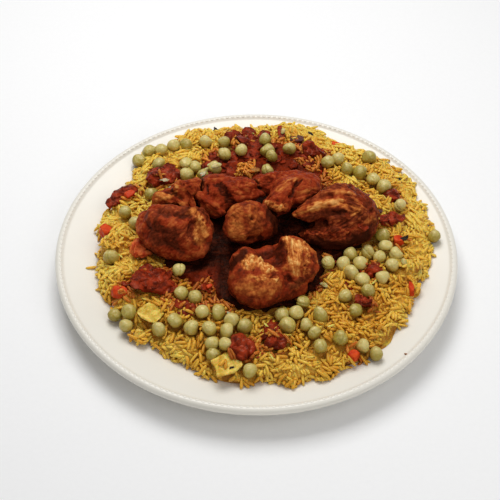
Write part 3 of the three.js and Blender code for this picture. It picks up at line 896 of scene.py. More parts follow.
grains, heap_top = pile_of_grains()
over_the_bed = grains[:, 2] - bed_height(grains[:, 0], grains[:, 1])
print("grains laid:", len(grains), "over the bed at most:", float(over_the_bed.max().round(1)))

# %% [markdown]
# ### How a grain looks
# A cooked grain is long, blunt at one end and pointed at the other, slightly bent and a little flat.
# A few moulds with other bends are enough, since each grain is also turned about its own length.
# Where a grain lies near tomato or sauce it has taken up red juice. So the vegetables' shadows on
# the map are blurred outwards, and that map of stain sorts the grains into three kinds.

# %% The grains as meshes
GRAIN_RINGS = 5
GRAIN_SIDES = 5
GRAIN_MOULDS = 6


def grain_mould(seed):
    """A grain of unit length and width along X."""
    rng = np.random.default_rng(seed)
    share = np.concatenate([[-1], -np.cos(np.linspace(0.4, math.pi - 0.4, GRAIN_RINGS)), [1]])
    points, faces = turned(np.column_stack([grain_profile(share), share]), GRAIN_SIDES)
    points = points[:, [2, 0, 1]] * (0.5, 0.5, 0.5 * rng.uniform(0.74, 0.92))
    points[:, 1:] *= (1 + rng.uniform(-0.22, 0.22) * points[:, :1])
    bend = rng.uniform(-0.5, 0.5, 2)
    points[:, 1] += bend[0] * (points[:, 0] ** 2 - 0.08)
    points[:, 2] += bend[1] * (points[:, 0] ** 2 - 0.08) * 0.6
    return points, faces


grain_moulds = [grain_mould(seed) for seed in range(GRAIN_MOULDS)]
print("triangles in a grain:", len(grain_moulds[0][1]))

# %% Where juice ran, and how bright and deep a grain lies
JUICE_SPILT = [
    (-50, -54, 9), (-40, -58, 9), (-30, -52, 8), (72, -2, 7), (82, 8, 6), (66, -30, 6), (-95, 42, 7),
    (-12, 107, 9), (30, 98, 6),
]
SHADE_DEPTH = 3.0
soft_top = blurred(heap_top, 2.5)
stain_map = 1.5 * blurred((chunks_above > 0) * 1.0, 3.5) + 1.25 * blurred((inside_sauce < 1) * 1.0, 4)
for x, y, reach in JUICE_SPILT:
    stain_map += 0.7 * soft_spot(x, y, reach)


def place_tone(x, y):
    """How bright the rice is at a place: clumps differ, and it is brighter at the back, the edge and the
    left, partly its own colour and partly painted light.
    """
    place_bias = 0.35 * stepped(inside_rice[map_index(x, y)], 0.86, 1) + 0.2 * stepped(-x, 50, 110)
    return 0.12 + 0.5 * flat_lumps(x, y, 10, 8) + 0.4 * stepped(y, -90, 50) + place_bias


def laid_grains(rows, rng):
    """Grains as one shape, with a tone for each and how deep each corner lies in the heap."""
    shapes, tones = [], []
    kinds = rng.integers(GRAIN_MOULDS, size=len(rows))
    for kind in range(GRAIN_MOULDS):
        mould, faces = grain_moulds[kind]
        some = rows[kinds == kind]
        x, y, _, heading, slope, length, width = some.T
        flat = 1 / np.hypot(1, slope)
        along = np.column_stack([np.cos(heading) * flat, np.sin(heading) * flat, slope * flat])
        level = np.column_stack([-np.sin(heading), np.cos(heading), np.zeros(len(some))])
        upward = np.cross(along, level)
        spin = rng.uniform(-0.7, 0.7, len(some))[:, None]
        side = level * np.cos(spin) + upward * np.sin(spin)
        back = np.cross(along, side)
        points = (
            (along * length[:, None])[:, None] * mould[None, :, :1]
            + (side * width[:, None])[:, None] * mould[None, :, 1:2]
            + (back * width[:, None])[:, None] * mould[None, :, 2:]
            + some[:, None, :3]
        )
        all_faces = faces[None] + np.arange(len(some))[:, None, None] * len(mould)
        shapes.append((points.reshape(-1, 3), all_faces.reshape(-1, 3)))
        tones.append(np.repeat(place_tone(x, y) + rng.uniform(-0.24, 0.24, len(some)), len(mould)))
    points, faces = joined(shapes)
    depth = soft_top[map_index(points[:, 0], points[:, 1])] - points[:, 2]
    return points, faces, {"tone": np.clip(np.concatenate(tones), 0, 1), "depth": depth / SHADE_DEPTH}


print("most juice on the map:", round(float(stain_map.max()), 2))

# %% [markdown]
# ### Rice finishes
# Saffron rice is bright yellow where it is dry and orange where it is wet. The grain lets some light
# through, which a little subsurface scattering stands for. The three kinds share one recipe and
# differ only in their two colours. Each corner of the mesh stores how deep it lies between the grains, and
# the deep ones are painted brown orange: painted shade, where little light reaches down between them.

# %% Rice finishes
GRAIN_GLOW = {"subsurface_weight": 0.8, "subsurface_scale": 0.0025, "subsurface_radius": (1, 0.8, 0.5)}
YELLOW_GRAIN = ((0.71, 0.345, 0.029), (0.91, 0.585, 0.103))
GOLDEN_GRAIN = ((0.58, 0.25, 0.017), (0.84, 0.48, 0.062))
STAINED_GRAIN = ((0.40, 0.09, 0.012), (0.74, 0.28, 0.04))
GOLDEN_FROM = 0.16
STAINED_FROM = 0.5


def rice_finish(name, deep, bright):
    finish = Finish(name, **GRAIN_GLOW)
    finish.gloss(0.35, 0.35, (1, 0.85, 0.45))
    streak = finish.noise(1.6, detail=2)
    grain = finish.mix(finish.stored("tone") * 0.85 + streak * 0.25, deep, bright)
    # Painted shade: corners that lie deep between the grains turn brown orange.
    deep_shade = finish.window(finish.stored("depth") + streak * 0.4, 0.5, 1.5)
    deep_shade_colour = finish.mix(finish.stored("tone"), (0.34, 0.115, 0.011), (0.60, 0.29, 0.03))
    return finish.paint(base_color=finish.mix(deep_shade * 0.8, grain, deep_shade_colour))


def make_rice():
    rng = np.random.default_rng(4)
    stain = stain_map[map_index(grains[:, 0], grains[:, 1])] + rng.normal(0, 0.08, len(grains))
    # Grains at the front count as more stained: partly their own colour, partly painted shade, as less light
    # falls there.
    stain += 0.16 * lumps(grains[:, :2], 14, 5) + 0.14 * stepped(-grains[:, 1], 0, 70)
    kinds = {
        "yellow_rice": (stain < GOLDEN_FROM, YELLOW_GRAIN),
        "golden_rice": ((stain >= GOLDEN_FROM) & (stain < STAINED_FROM), GOLDEN_GRAIN),
        "stained_rice": (stain >= STAINED_FROM, STAINED_GRAIN),
    }
    for name, (chosen, colours) in kinds.items():
        points, faces, stored = laid_grains(grains[chosen], rng)
        make_piece(name, points, faces, rice_finish(name, *colours), "rice", **stored)


make_rice()

# %% [markdown]
# ### The core of the heap
# Below the loose grains the heap is packed. Where the rice is mushy, the packed mass comes up between
# the grains and almost covers them; where it is loose, it stays low. So it is one closed dome that follows
# a map of mushiness, with the same yellow as the grains where it is high and a darker orange where it is
# low, which is painted shade of the gaps between the grains. It stands for the rice solid.

# %% The core of the heap
CORE_RINGS = 90
CORE_RINGS_BELOW = 8
CORE_COUNT = 420
CORE_REACH = 0.985
OFF_THE_PLATE = 0.1
BELOW_MUSHY_RICE = 0.45
BELOW_LOOSE_RICE = 2.0
rice_backs = np.where(heap_top > obstacles, heap_top, bed_floor + CORE_DEPTH)
rice_level = blurred(rice_backs, 1.5)


def mushiness(x, y):
    """1 where the rice is mushy and 0 where it is loose or under the sauce."""
    place_bias = 0.5 * stepped(inside_rice[map_index(x, y)], 0.85, 1) - 0.4 * stepped(-y, 20, 70)
    clumps = stepped(flat_lumps(x, y, 10, 41) + 0.6 * flat_lumps(x, y, 4, 42) + place_bias, -0.45, 0.45)
    return clumps * stepped(inside_sauce[map_index(x, y)], 1, 1.1)


def core_shape():
    ways = circle(CORE_COUNT).T
    reach = outline(RICE_REACH, *ways) * CORE_REACH
    under = product(np.linspace(1 / CORE_RINGS_BELOW, 1, CORE_RINGS_BELOW), [False])
    over = product(np.linspace(1, 1 / CORE_RINGS, CORE_RINGS), [True])
    rings, mush = [], [[0]]
    for share, is_top in [*under, *over]:
        x, y = reach * share * ways
        height = plate_top(reach * share) + OFF_THE_PLATE
        mushy = mushiness(x, y) * is_top
        if is_top:
            below = BELOW_LOOSE_RICE + (BELOW_MUSHY_RICE - BELOW_LOOSE_RICE) * mushy
            uneven = 0.5 * flat_lumps(x, y, 2.5, 7)
            height = np.maximum(height + 0.3, rice_level[map_index(x, y)] - below + uneven)
        rings.append(np.column_stack([x, y, height]))
        mush.append(mushy)
    points, faces = closed(WELL_FLOOR + OFF_THE_PLATE, rings, RICE_CROWN - CORE_DEPTH)
    tone = place_tone(points[:, 0], points[:, 1])
    return points, faces, {"mush": np.concatenate([*mush, [0]]), "tone": tone}


def core_finish():
    finish = Finish("packed_rice", **GRAIN_GLOW)
    finish.gloss(0.38, 0.3, (1, 0.85, 0.45))
    grains = finish.cells(2.4)
    finish.bump(grains, 1.0)
    clump = finish.noise(6, detail=3)
    # Each packed grain is darker towards its rim: painted shade between the grains.
    bright = finish.stored("tone") + (clump - 0.5) * 1.5 - (grains - 0.5) * 0.5
    mushy = finish.mix(bright, (0.59, 0.243, 0.019), (0.90, 0.56, 0.087))
    # The low core seen in the gaps between grains is darker: painted shade.
    loose = finish.mix(clump, (0.38, 0.13, 0.012), (0.60, 0.28, 0.033))
    return finish.paint(base_color=finish.mix(finish.window(finish.stored("mush"), 0.1, 0.7), loose, mushy))


core_points, core_faces, core_stored = core_shape()
make_piece("packed_rice", core_points, core_faces, core_finish(), "rice", ["rice_bed"], **core_stored)

# %% [markdown]
# ## Stewed chicken
# Torn chicken has no clean form: it is muscle that came apart along its fibres, with skin, hollows
# and a coat of thick sauce. A sculptor works it with a brush: one stroke raises a fold, another combs
# fibres in, another wipes the sauce off. Strokes by hand can't be repeated, so here each one is
# written down: a line through a few places in mm, a radius, and what it does. Each solid of the frame
# is first cut into small even faces and melted smooth, then the strokes are pressed in.

# %% A fine even skin over a solid
SKIN_CELL = 0.6
MELT_ROUNDS = 10
ROPE_BALLS = 9


def evened(shapes, rounds=MELT_ROUNDS):
    """Closed shapes melted into one skin of small even faces."""
    holder = bpy.data.objects.new("rough", make_mesh("rough", *joined(shapes)))
    bpy.context.scene.collection.objects.link(holder)
    even = holder.modifiers.new("even", "REMESH")
    even.mode = "VOXEL"
    even.voxel_size = SKIN_CELL * MM
    soft = holder.modifiers.new("soft", "SMOOTH")
    soft.iterations = rounds
    mesh = bpy.data.meshes.new_from_object(holder.evaluated_get(bpy.context.evaluated_depsgraph_get()))
    points = read_all(mesh.vertices, "co", 3) / MM
    faces = read_all(mesh.loops, "vertex_index", 1, int).reshape(-1, 4)
    bpy.data.objects.remove(holder)
    bpy.data.meshes.remove(mesh)
    return points, faces


def skin_ways(points, faces):
    """The direction out of the skin at each point."""
    a, b, c, d = (points[faces[:, i]] for i in range(4))
    face_way = np.cross(c - a, d - b)
    ways = np.zeros_like(points)
    for i in range(4):
        np.add.at(ways, faces[:, i], face_way)
    return ways / np.maximum(np.linalg.norm(ways, axis=1, keepdims=True), 1e-9)


rope_ball, rope_triangles = icosphere(3)


def rope(stations):
    """A soft rope through stations of (x, y, z, radius), as a row of balls."""
    stations = np.asarray(stations, float)
    balls = []
    for start, end in zip(stations, stations[1:]):
        for share in np.linspace(0, 1, ROPE_BALLS):
            *place, radius = start + (end - start) * share
            balls.append((rope_ball * radius + place, rope_triangles))
    return balls


print("faces in a ball of a rope:", len(rope_triangles))

# %% A brush stroke
FIBRE_STRETCH = 9


def stroke(radius, *line, **does):
    """A stroke of the brush: its radius, the places that it passes and what it does there."""
    return line, radius, does


def along_line(points, line):
    """For each point: its distance from a line of places, and its place measured across and along it."""
    line = np.asarray(line, float)
    best = np.full(len(points), np.inf)
    local = np.zeros_like(points)
    travelled = 0.0
    for start, end in zip(line, line[1:]):
        step = end - start
        length = np.linalg.norm(step)
        way = step / length
        ahead = (points - start) @ way
        off = points - start - np.clip(ahead, 0, length)[:, None] * way
        distance = np.linalg.norm(off, axis=1)
        closer = distance < best
        across = points - start - ahead[:, None] * way
        stretched = across + (ahead + travelled)[:, None] * way / FIBRE_STRETCH
        best = np.where(closer, distance, best)
        local = np.where(closer[:, None], stretched, local)
        travelled += length
    return best, local


def fibres(local, width):
    """Muscle fibres of that width that run along a stroke: 0 in the grooves, 1 on the backs."""
    return 1 - np.abs(lumps(local, width * 2)) - 0.35 * np.abs(lumps(local, width, 3))


def crumbs(points, size):
    """Crumbly flakes of that size: 0 in the cracks, about 1 on the flakes."""
    return 2.4 * np.minimum(np.abs(lumps(points, size)), np.abs(lumps(points, size * 0.8, 1)))


def creases(points, size, seed):
    """Narrow furrows between soft swellings of that size: 1 at the bottom of a furrow, 0 elsewhere."""
    return (1 - np.abs(lumps(points, size, seed))) ** 9


def worn(points):
    """The points shifted a little by noise, so that the border of a stroke is ragged."""
    shift = np.column_stack([lumps(points, 5, seed) for seed in (11, 12, 13)])
    fine = np.column_stack([lumps(points, 1.8, seed) for seed in (14, 15, 16)])
    return points + 2.0 * shift + 0.9 * fine


# %% [markdown]
# ### The strokes of each piece
# The places were read off the picture: the orange face that was cut across its fibres, the flap that
# hangs over a hollow, the crumbly breast with its long pale fibres. A stroke may raise or press in
# (`lift`), comb fibres (`comb`) of a `width` or crumble (`crumble`), all in mm. From 0 to 1 it may
# uncover pale flesh (`pale`), leave bright sauce (`red`), darken (`dark`) with painted shade in grooves,
# hollows and undersides and with dark skin in a few places, or keep off the painted shade that falls in
# hollows. A few pale and red strokes are painted highlights. Each piece also says how rough and how red
# it is at first, which way its muscle runs, where it was cut flat, and which ropes of skin and muscle are
# added to it.

# %% A list of work for each piece
CHICKEN_WORK = {}
print("pieces of chicken:", CHICKEN)

# %% The thigh at the left
# The broad piece at the left is smooth skin with a flat face where it was cut, pale along its right side.
# Its grooves and right flank are darkened with painted shade, a band along its top is a painted red
# highlight, and below it the painted shade of the hollows is kept off, so that it stays bright red.
CHICKEN_WORK["chicken_left_thigh"] = {
    "at_first": {"rough": 0.62, "red": 0.35},
    "muscle": (0.3, 0.2, 0.1),
    "cuts": [
        ((-42, -7, 42), (0.55, -0.6, 0.58), 10.6),
        ((-42, -7, 42), (0.75, 0.1, 0.65), 11.5),
        ((-54, 1, 57), (0.05, 0.74, 0.68), 0.5),
    ],
    "ropes": [
        [(-44, 2, 54.5, 3), (-38, -3, 54, 3), (-33, -8, 49, 3), (-32, -14, 41, 3), (-36, -20, 35, 3)],
    ],
    "strokes": [
        stroke(6, (-43, -3, 57), (-38, -8, 54), (-35, -13, 49), (-37, -18, 44), pale=0.8, red=0.4),
        stroke(3.6, (-38, -6, 54), (-35.5, -9, 50), (-34.5, -13, 45), pale=1.1),
        stroke(6, (-52, -22, 32), (-43, -24, 31), (-34, -22, 32), wiped=0.8, red=0.8),
        stroke(9, (-44, -16, 48), (-38, -11, 53), (-34, -7, 55), comb=1.0, width=2.8),
        stroke(2.6, (-45, -4, 58), (-43, -12, 56), (-43, -20, 49), lift=-1.6, dark=0.55),
        stroke(7, (-66, -14, 52), (-60, -21, 46), (-51, -23, 43), lift=-1.4, dark=0.5),
        stroke(5, (-71, -12, 50), (-72, -15, 45), lift=-1.6, dark=0.5),
        stroke(5, (-76, 2, 46), (-77, -8, 42), lift=1.6, red=0.8),
        stroke(4, (-64, 10, 52), (-72, 6, 49), lift=-1.5, dark=0.4),
        stroke(4, (-62, -11, 56), (-50, -14, 55), (-44, -12, 56), lift=0.8, red=0.85),
        stroke(5.5, (-75, -4, 48), (-71, -15, 42), (-60, -21, 39), (-48, -23, 36), red=0.95, lift=0.7),
        stroke(3, (-54, -7, 58), (-47, -8, 57), lift=-1.0, dark=0.7),
        stroke(5, (-48, -22, 44), (-42, -23, 40), (-37, -21, 37), lift=0.6, red=0.9),
        stroke(3.5, (-32, -6, 50), (-31, -13, 44), red=0.9),
        stroke(6, (-70, 2, 52), (-58, 8, 54), (-48, 6, 55), comb=0.9, red=0.8),
        stroke(4.5, (-31, -3, 48), (-30, -12, 40), (-34, -20, 34), dark=0.6),
    ],
}

# %% The thigh at the right
# A long ridge of meat, pale on top, partly bare flesh and partly a painted highlight, with thin fibres
# that hang over its side, which is darkened with painted shade. Its tip is kept free of painted shade
# and painted paler: painted light.
CHICKEN_WORK["chicken_right_thigh"] = {
    "at_first": {"rough": 0.65, "red": 0.35, "pale": 0.15},
    "muscle": (0.9, -0.3, 0.3),
    "ropes": [
        [(27, 6, 48, 2), (36, 7.5, 50.5, 3), (47, 9, 53, 3.6)],
        [(34, -3, 36, 2.6), (44, -6, 40, 3), (53, -6, 42.5, 3)],
    ],
    "strokes": [
        stroke(6, (25, 5, 47), (36, 7, 52), (46, 9, 55), (55, 10, 57), pale=0.5, red=0.8, comb=0.6),
        stroke(5.5, (22, 5, 45), (29, 5.5, 48), wiped=0.9, red=0.9, pale=0.72),
        stroke(4.2, (34, 6.5, 51), (40, 7, 53), (46, 8, 55), (54, 8, 58), pale=0.95),
        stroke(5, (58, 5, 57), (64, 2.5, 54), pale=0.78),
        stroke(3, (42, 16, 56), (48, 16, 58), (58, 13, 59), (65, 9, 57), pale=0.4, lift=0.6, comb=0.5),
        stroke(1.6, (45, 13, 57), (50, 13.5, 58), lift=-1.2, dark=0.6),
        stroke(9, (62, 4, 55), (70, 2, 51), (74, -2, 45), pale=0.45),
        stroke(2.6, (50, 3, 51), (57, 1, 53), lift=-2.2, dark=0.8),
        stroke(8, (60, 6, 56), (70, 3, 53), (60, -3, 48), (50, -6, 43), comb=1.1, width=1.7),
        stroke(2.2, (76, 6, 50), (66, 1, 51), (54, -3, 47), lift=-0.9, dark=0.5),
        stroke(2.4, (74, 2, 46), (63, -5, 44), (50, -8, 41), lift=0.7, red=0.6),
        stroke(3, (58, 12, 59), (67, 9, 57), (74, 4, 52), (76, -2, 46), comb=1.2, red=0.5, pale=0.2),
        stroke(2.2, (54, 7, 57), (64, 4, 54), (69, -1, 49), (62, -5, 44), lift=-0.8, dark=0.4, comb=0.6),
        stroke(4.6, (34, -3, 38), (42, -5, 40), (49, -8, 40), (60, -7, 42), red=0.7, dark=0.6, crumble=1.2),
        stroke(7.5, (38, -10, 34), (50, -12, 33), (62, -11, 34), (72, -6, 38), dark=1.0, lift=-0.5),
        stroke(4, (44, 20, 55), (54, 21, 57), (62, 18, 58), dark=0.7, lift=0.7, crumble=0.8),
        stroke(3.4, (44, 15, 56), (56, 15, 59), (66, 12, 57), red=0.5, lift=0.8),
        stroke(5, (78, 8, 46), (78, 0, 42), (72, -5, 38), dark=0.7),
    ],
}

# %% The cut piece in the middle
# A round slice with its cut face to the front: two pale muscles, a dark line between them, skin round it.
# Its right side and its foot are darkened with painted shade.
CHICKEN_WORK["chicken_centre_cut"] = {
    "at_first": {"rough": 0.4, "red": 0.5},
    "muscle": (0.1, -0.7, 0.7),
    "cuts": [
        ((-9, -4, 43), (-0.2, -0.7, 0.7), 9.0),
    ],
    "ropes": [
        [
            (-20, -8, 43, 2), (-20, -1, 50, 2.1), (-14, 5, 53.5, 2.1),
            (-5, 8, 54.5, 2), (4, 5, 53, 2), (8, 0, 49, 1.8),
        ],
    ],
    "strokes": [
        stroke(8.5, (-14, -2, 56), (-14, -11, 49), (-12, -14, 43), pale=0.7, crumble=0.4),
        stroke(8, (-3, -1, 57), (-1, -9, 52), (-1, -13, 45), pale=0.62, crumble=0.4),
        stroke(4, (-18, -10, 44), (-12, -14, 41), red=0.9, lift=0.5),
        stroke(3.6, (-8, -3, 57), (-3, -1, 56), red=0.75, lift=-0.5),
        stroke(1.9, (-3, -6.5, 56), (-2.5, -7.5, 55), lift=-2.0, dark=1.0),
        stroke(8.5, (11, 1, 51), (14, -1, 44), (14, -4, 38), red=0.2, dark=1.0, comb=0.6),
        stroke(2, (7, 0, 53), (7, -8, 48), (6, -13, 41), lift=-1.0, dark=0.35),
        stroke(2.6, (-19, 0, 50), (-14, 5, 54), (-5, 8, 55), (3, 5, 53), pale=0.55),
        stroke(1.5, (-17, 3, 52), (-12, 2, 56), (-3, 5, 56), lift=-0.9, red=0.6),
        stroke(3.4, (-5, -14, 42), (0, -14, 41), (6, -12, 39), dark=0.9, lift=-1.5),
    ],
}

# %% The breast in front
# The torn breast has crumbs of pale meat at the left, a hollow behind them and long combed fibres. The
# hollow, its upper left and its lower edge are darkened with painted shade, and the middle of its front
# is paler, partly bare flesh and partly a painted highlight.
CHICKEN_WORK["chicken_front_breast"] = {
    "at_first": {"rough": 0.4, "red": 0.6},
    "muscle": (0.2, -0.6, 0.75),
    "ropes": [
        [
            (18, -20, 50, 2.6), (28, -23, 50.5, 2.8), (36, -29, 46, 2.8),
            (38, -36, 41, 2.6), (34, -43, 37, 2.6),
        ],
        [(34, -43, 37, 2.6), (27, -46, 39.5, 2.6), (20, -45, 43.5, 2.4)],
        [(-13, -36, 49.5, 3), (-8, -33, 51.5, 3), (-3, -36, 51, 2.6)],
        [(12, -54, 36, 7), (20, -49, 34, 7), (28, -46, 33, 6)],
    ],
    "strokes": [
        stroke(9, (-8, -58, 46), (-3, -60, 46), (6, -60, 46), (11, -57, 47), pale=0.66),
        stroke(4.5, (-6, -55, 49), (3, -55, 50), pale=0.85),
        stroke(
            5.5, (-6, -44, 51), (-3, -41, 53), (2, -42, 53), (8, -46, 51),
            pale=1.15, crumble=3.0, lift=0.6,
        ),
        stroke(1.8, (-3, -46, 52), (-2, -51, 51), lift=-1.6, dark=0.6),
        stroke(3, (0, -51, 52), (7, -51, 52), red=0.9, lift=-0.4),
        stroke(4.4, (1, -56, 51), (8, -54, 51), (13, -54, 49), pale=0.85, crumble=1.3),
        stroke(5, (-17, -42, 46), (-14, -40, 49), (-11, -38, 52), (-7, -35, 54), red=0.5, dark=1.05),
        stroke(5, (-17, -44, 45), (-16, -53, 44), (-12, -60, 41), red=0.8, dark=0.5),
        stroke(
            7.5, (3, -28, 46), (10, -25, 47), (15, -28, 50), (13, -37, 49),
            dark=0.72, red=0.35, lift=-2.4,
        ),
        stroke(
            4.6, (20, -22, 54), (21, -32, 53), (23, -40, 50), (24, -44, 45),
            pale=1.0, comb=2.0, width=1.5,
        ),
        stroke(3.6, (25, -24, 54), (27, -33, 53), (27, -41, 49), pale=1.0, comb=2.0, width=1.5),
        stroke(4.6, (31, -26, 52), (33, -34, 50), (31, -42, 46), pale=0.75, red=0.6, crumble=1.0),
        stroke(3, (17, -38, 51), (18, -43, 47), pale=0.7, red=0.8),
        stroke(1.6, (28, -30, 54), (29, -38, 51), lift=-1.6, dark=0.5),
        stroke(3, (31, -23, 51), (37, -29, 48), (39, -34, 44), red=0.6, pale=0.7),
        stroke(5, (21, -52, 41), (26, -50, 40), (30, -47, 41), (34, -43, 41), red=0.9, dark=0.9, lift=1.0),
        stroke(2.6, (18, -47, 46), (22, -48, 39), (21, -50, 33), dark=0.7, lift=-1.0),
        stroke(6, (14, -55, 46), (18, -52, 41), (22, -49, 38), red=0.95, dark=0.45),
        stroke(
            8, (22, -54, 34), (12, -61, 33), (2, -64, 33), (-10, -62, 33), (-17, -54, 34),
            dark=0.75, red=0.8,
        ),
    ],
}

# %% The drumstick behind
# Three bundles of meat lie side by side, with narrow gaps between them; the gaps and the underside are
# darkened with painted shade.
CHICKEN_WORK["chicken_drumstick"] = {
    "at_first": {"rough": 0.6, "red": 0.7},
    "muscle": (0.8, 0.5, 0.3),
    "ropes": [
        [(14, 21, 52, 3.4), (20, 26, 53, 3.2), (25, 31, 52, 2.6)],
        [(26, 19, 47, 3.4), (33, 22, 46.5, 3.6), (39, 28, 45, 3.2)],
        [(6, 12, 48, 3.2), (13, 8.5, 48, 3.4), (19, 10, 47, 3)],
    ],
    "strokes": [
        stroke(6, (28, 38, 52), (36, 35, 51), (42, 33, 47), red=0.9, comb=0.6),
        stroke(4, (32, 22, 51), (38, 27, 50), (43, 31, 47), dark=0.55),
        stroke(4, (15, 21, 55), (20, 26, 55), (24, 31, 54), pale=0.6, comb=0.7, width=1.5),
        stroke(4.2, (27, 18, 50), (33, 21, 50), (39, 27, 47), pale=0.45, red=0.5, comb=0.6),
        stroke(2.2, (22, 16, 52), (25, 24, 54), (29, 32, 54), lift=-2.0, dark=0.8),
        stroke(4.6, (8, 11, 51), (13, 8, 51), (18, 10, 50), pale=0.7, crumble=1.0),
        stroke(2.4, (6, 15, 51), (12, 16, 52), lift=-1.2, dark=0.5),
        stroke(6.5, (0, 32, 48), (8, 34, 51), (18, 39, 52), red=0.55, crumble=0.9),
        stroke(3, (8, 26, 51), (14, 29, 53), lift=-1.0, dark=0.5),
        stroke(4.5, (22, 14, 44), (28, 16, 42), (36, 20, 40), dark=0.8),
    ],
}

# %% The piece at the back
# A low piece that is nearly all under sauce, with one deep fold that is darkened with painted shade.
CHICKEN_WORK["chicken_back_middle"] = {
    "at_first": {"rough": 0.6, "red": 0.75},
    "muscle": (0.9, 0.1, -0.3),
    "ropes": [
        [(-39, 25, 43, 2.4), (-31, 17, 42.5, 2.8), (-24, 13, 39, 2.6)],
        [(-15, 20, 44, 3), (-5, 22, 45, 3.2), (3, 27, 44, 3)],
    ],
    "strokes": [
        stroke(6, (-16, 24, 51), (-9, 27, 53), (-2, 30, 51), red=0.8, crumble=0.8, pale=0.25),
        stroke(4.2, (-26, 29, 50), (-21, 22, 47), (-17, 17, 43), dark=0.8, lift=-2.4, crumble=1.0),
        stroke(4.5, (-31, 37, 48), (-22, 37, 50), (-16, 32, 52), red=0.6, comb=0.9),
        stroke(3.4, (-38, 24, 44), (-31, 17, 44), (-24, 13, 41), red=0.95, comb=0.6),
        stroke(1.7, (-35, 32, 46), (-34, 25, 45), lift=-1.6, dark=0.9),
        stroke(2.4, (-16, 18, 44), (-6, 20, 45), red=0.6, pale=0.25),
    ],
}

# %% The wing at the back left
# A small flat piece with one pale edge of skin, like a cord. The grooves beside it and the underside are
# darkened with painted shade.
CHICKEN_WORK["chicken_back_wing"] = {
    "at_first": {"rough": 0.6, "red": 0.75, "pale": 0.48},
    "muscle": (0.7, -0.6, 0.3),
    "cuts": [
        ((-45, 35, 37), (0.1, -0.6, 0.8), 11.0),
    ],
    "ropes": [
        [
            (-56, 31, 46, 2), (-50, 25.5, 47.5, 2.6), (-45, 20, 47.5, 2.4),
            (-42, 12, 50, 2.2), (-41, 5, 53, 2),
        ],
        [(-67, 28, 40, 3.6), (-58, 23, 40.5, 3.4)],
    ],
    "strokes": [
        stroke(5.5, (-67, 25, 42), (-62, 24, 43), (-57, 24, 45), red=0.8, pale=0.8),
        stroke(
            2.6, (-56, 31, 47), (-50, 25, 49), (-45, 20, 48), (-43, 11, 52), (-42, 4, 55),
            pale=1.0, lift=0.9,
        ),
        stroke(2.0, (-60, 28, 45), (-54, 22, 46), (-49, 16, 47), lift=-1.6, dark=0.85),
        stroke(2.0, (-53, 33, 48), (-47, 27, 49), (-42, 24, 47), lift=-1.0, dark=0.6),
        stroke(6, (-49, 31, 48), (-42, 34, 47), (-41, 29, 43), red=0.75, comb=0.8),
        stroke(2.4, (-56, 26, 44), (-50, 21, 43), lift=-1.8, dark=0.8),
        stroke(4, (-62, 19, 38), (-55, 17, 38), dark=0.9),
    ],
}
print("strokes:", sum(len(work["strokes"]) for work in CHICKEN_WORK.values()))

# %% Pressing the strokes in
# The shades a stroke can leave: dark is painted shade, with dark skin in a few places, and the last keeps the
# painted shade of hollows off.
SHADES = ("pale", "red", "dark", "rough", "wiped")
MUSCLE_STRETCH = 2.0
RELIEF_FROM = 28.5
RELIEF_FULL = 32
NEIGHBOUR_REACH = 6


def rough_flesh(points, drawn):
    """The unevenness that all stewed flesh has: swellings, small flakes along the muscle, creases."""
    swelling = 1.2 * lumps(points, 9, 1) + 0.8 * lumps(points, 5, 2)
    flakes = 0.55 * lumps(drawn, 2.6, 3) - 0.45 * creases(drawn, 3.2, 6)
    return swelling + flakes - 0.9 * creases(points, 8, 4)


def drawn_out(points, way):
    """The points pressed together along a way, so that noise on them comes out as streaks along it."""
    way = unit(np.array(way, float))
    return points - (points @ way)[:, None] * way * (1 - 1 / MUSCLE_STRETCH)


def cut_flat(points, cuts):
    """Presses whatever is further than a reach along a way from a place back to a flat face."""
    for place, way, reach in cuts:
        way = unit(np.array(way, float))
        height = (points - place) @ way - reach
        points = points - np.maximum(height, 0)[:, None] * way
    return points


def press_strokes(points, strokes, at_first, drawn):
    """The relief in mm, the shades and the place along the fibres that the strokes leave."""
    relief = (0.35 + 0.8 * at_first["rough"]) * rough_flesh(points, drawn)
    shades = {shade: np.full(len(points), at_first.get(shade, 0)) for shade in SHADES}
    ragged = worn(points)
    strongest = np.full(len(points), 0.2)
    for line, radius, does in strokes:
        distance, local = along_line(points, line)
        brush = np.maximum(1 - (distance / radius) ** 2, 0) ** 1.5
        combed = brush * ("comb" in does) > strongest
        drawn = np.where(combed[:, None], local, drawn)
        strongest[combed] = brush[combed]
        relief += does.get("lift", 0) * brush
        relief += does.get("comb", 0) * brush * (fibres(local, does.get("width", 1.6)) - 0.6)
        relief += does.get("crumble", 0) * brush * (crumbs(points, 2.6) - 0.7)
        border = stepped(1.3 - along_line(ragged, line)[0] / radius, 0, 1.0)
        does = does | {"rough": min(1, does.get("comb", 0) + does.get("crumble", 0))}
        for shade in SHADES:
            shades[shade] = np.maximum(shades[shade], does.get(shade, 0) * border)
    return relief, shades, drawn


def painted_hollow_shade(points, node):
    """1 where painted shade darkens the flesh: in hollows, near the pieces beside this one and low at the
    foot; 0 in the open.
    """
    tree = search_tree([name for name in CHICKEN if name != node])
    reach = NEIGHBOUR_REACH
    gaps = np.array([tree.find_nearest(Vector(point), reach)[3] or reach for point in points])
    hollow = level_around[map_index(points[:, 0], points[:, 1])] - points[:, 2]
    foot = 0.85 * stepped(35 - points[:, 2], 0, 6)
    return np.maximum.reduce([0.9 * stepped(4 - gaps, 0, 3.5), 0.85 * stepped(hollow, 0, 9), foot])


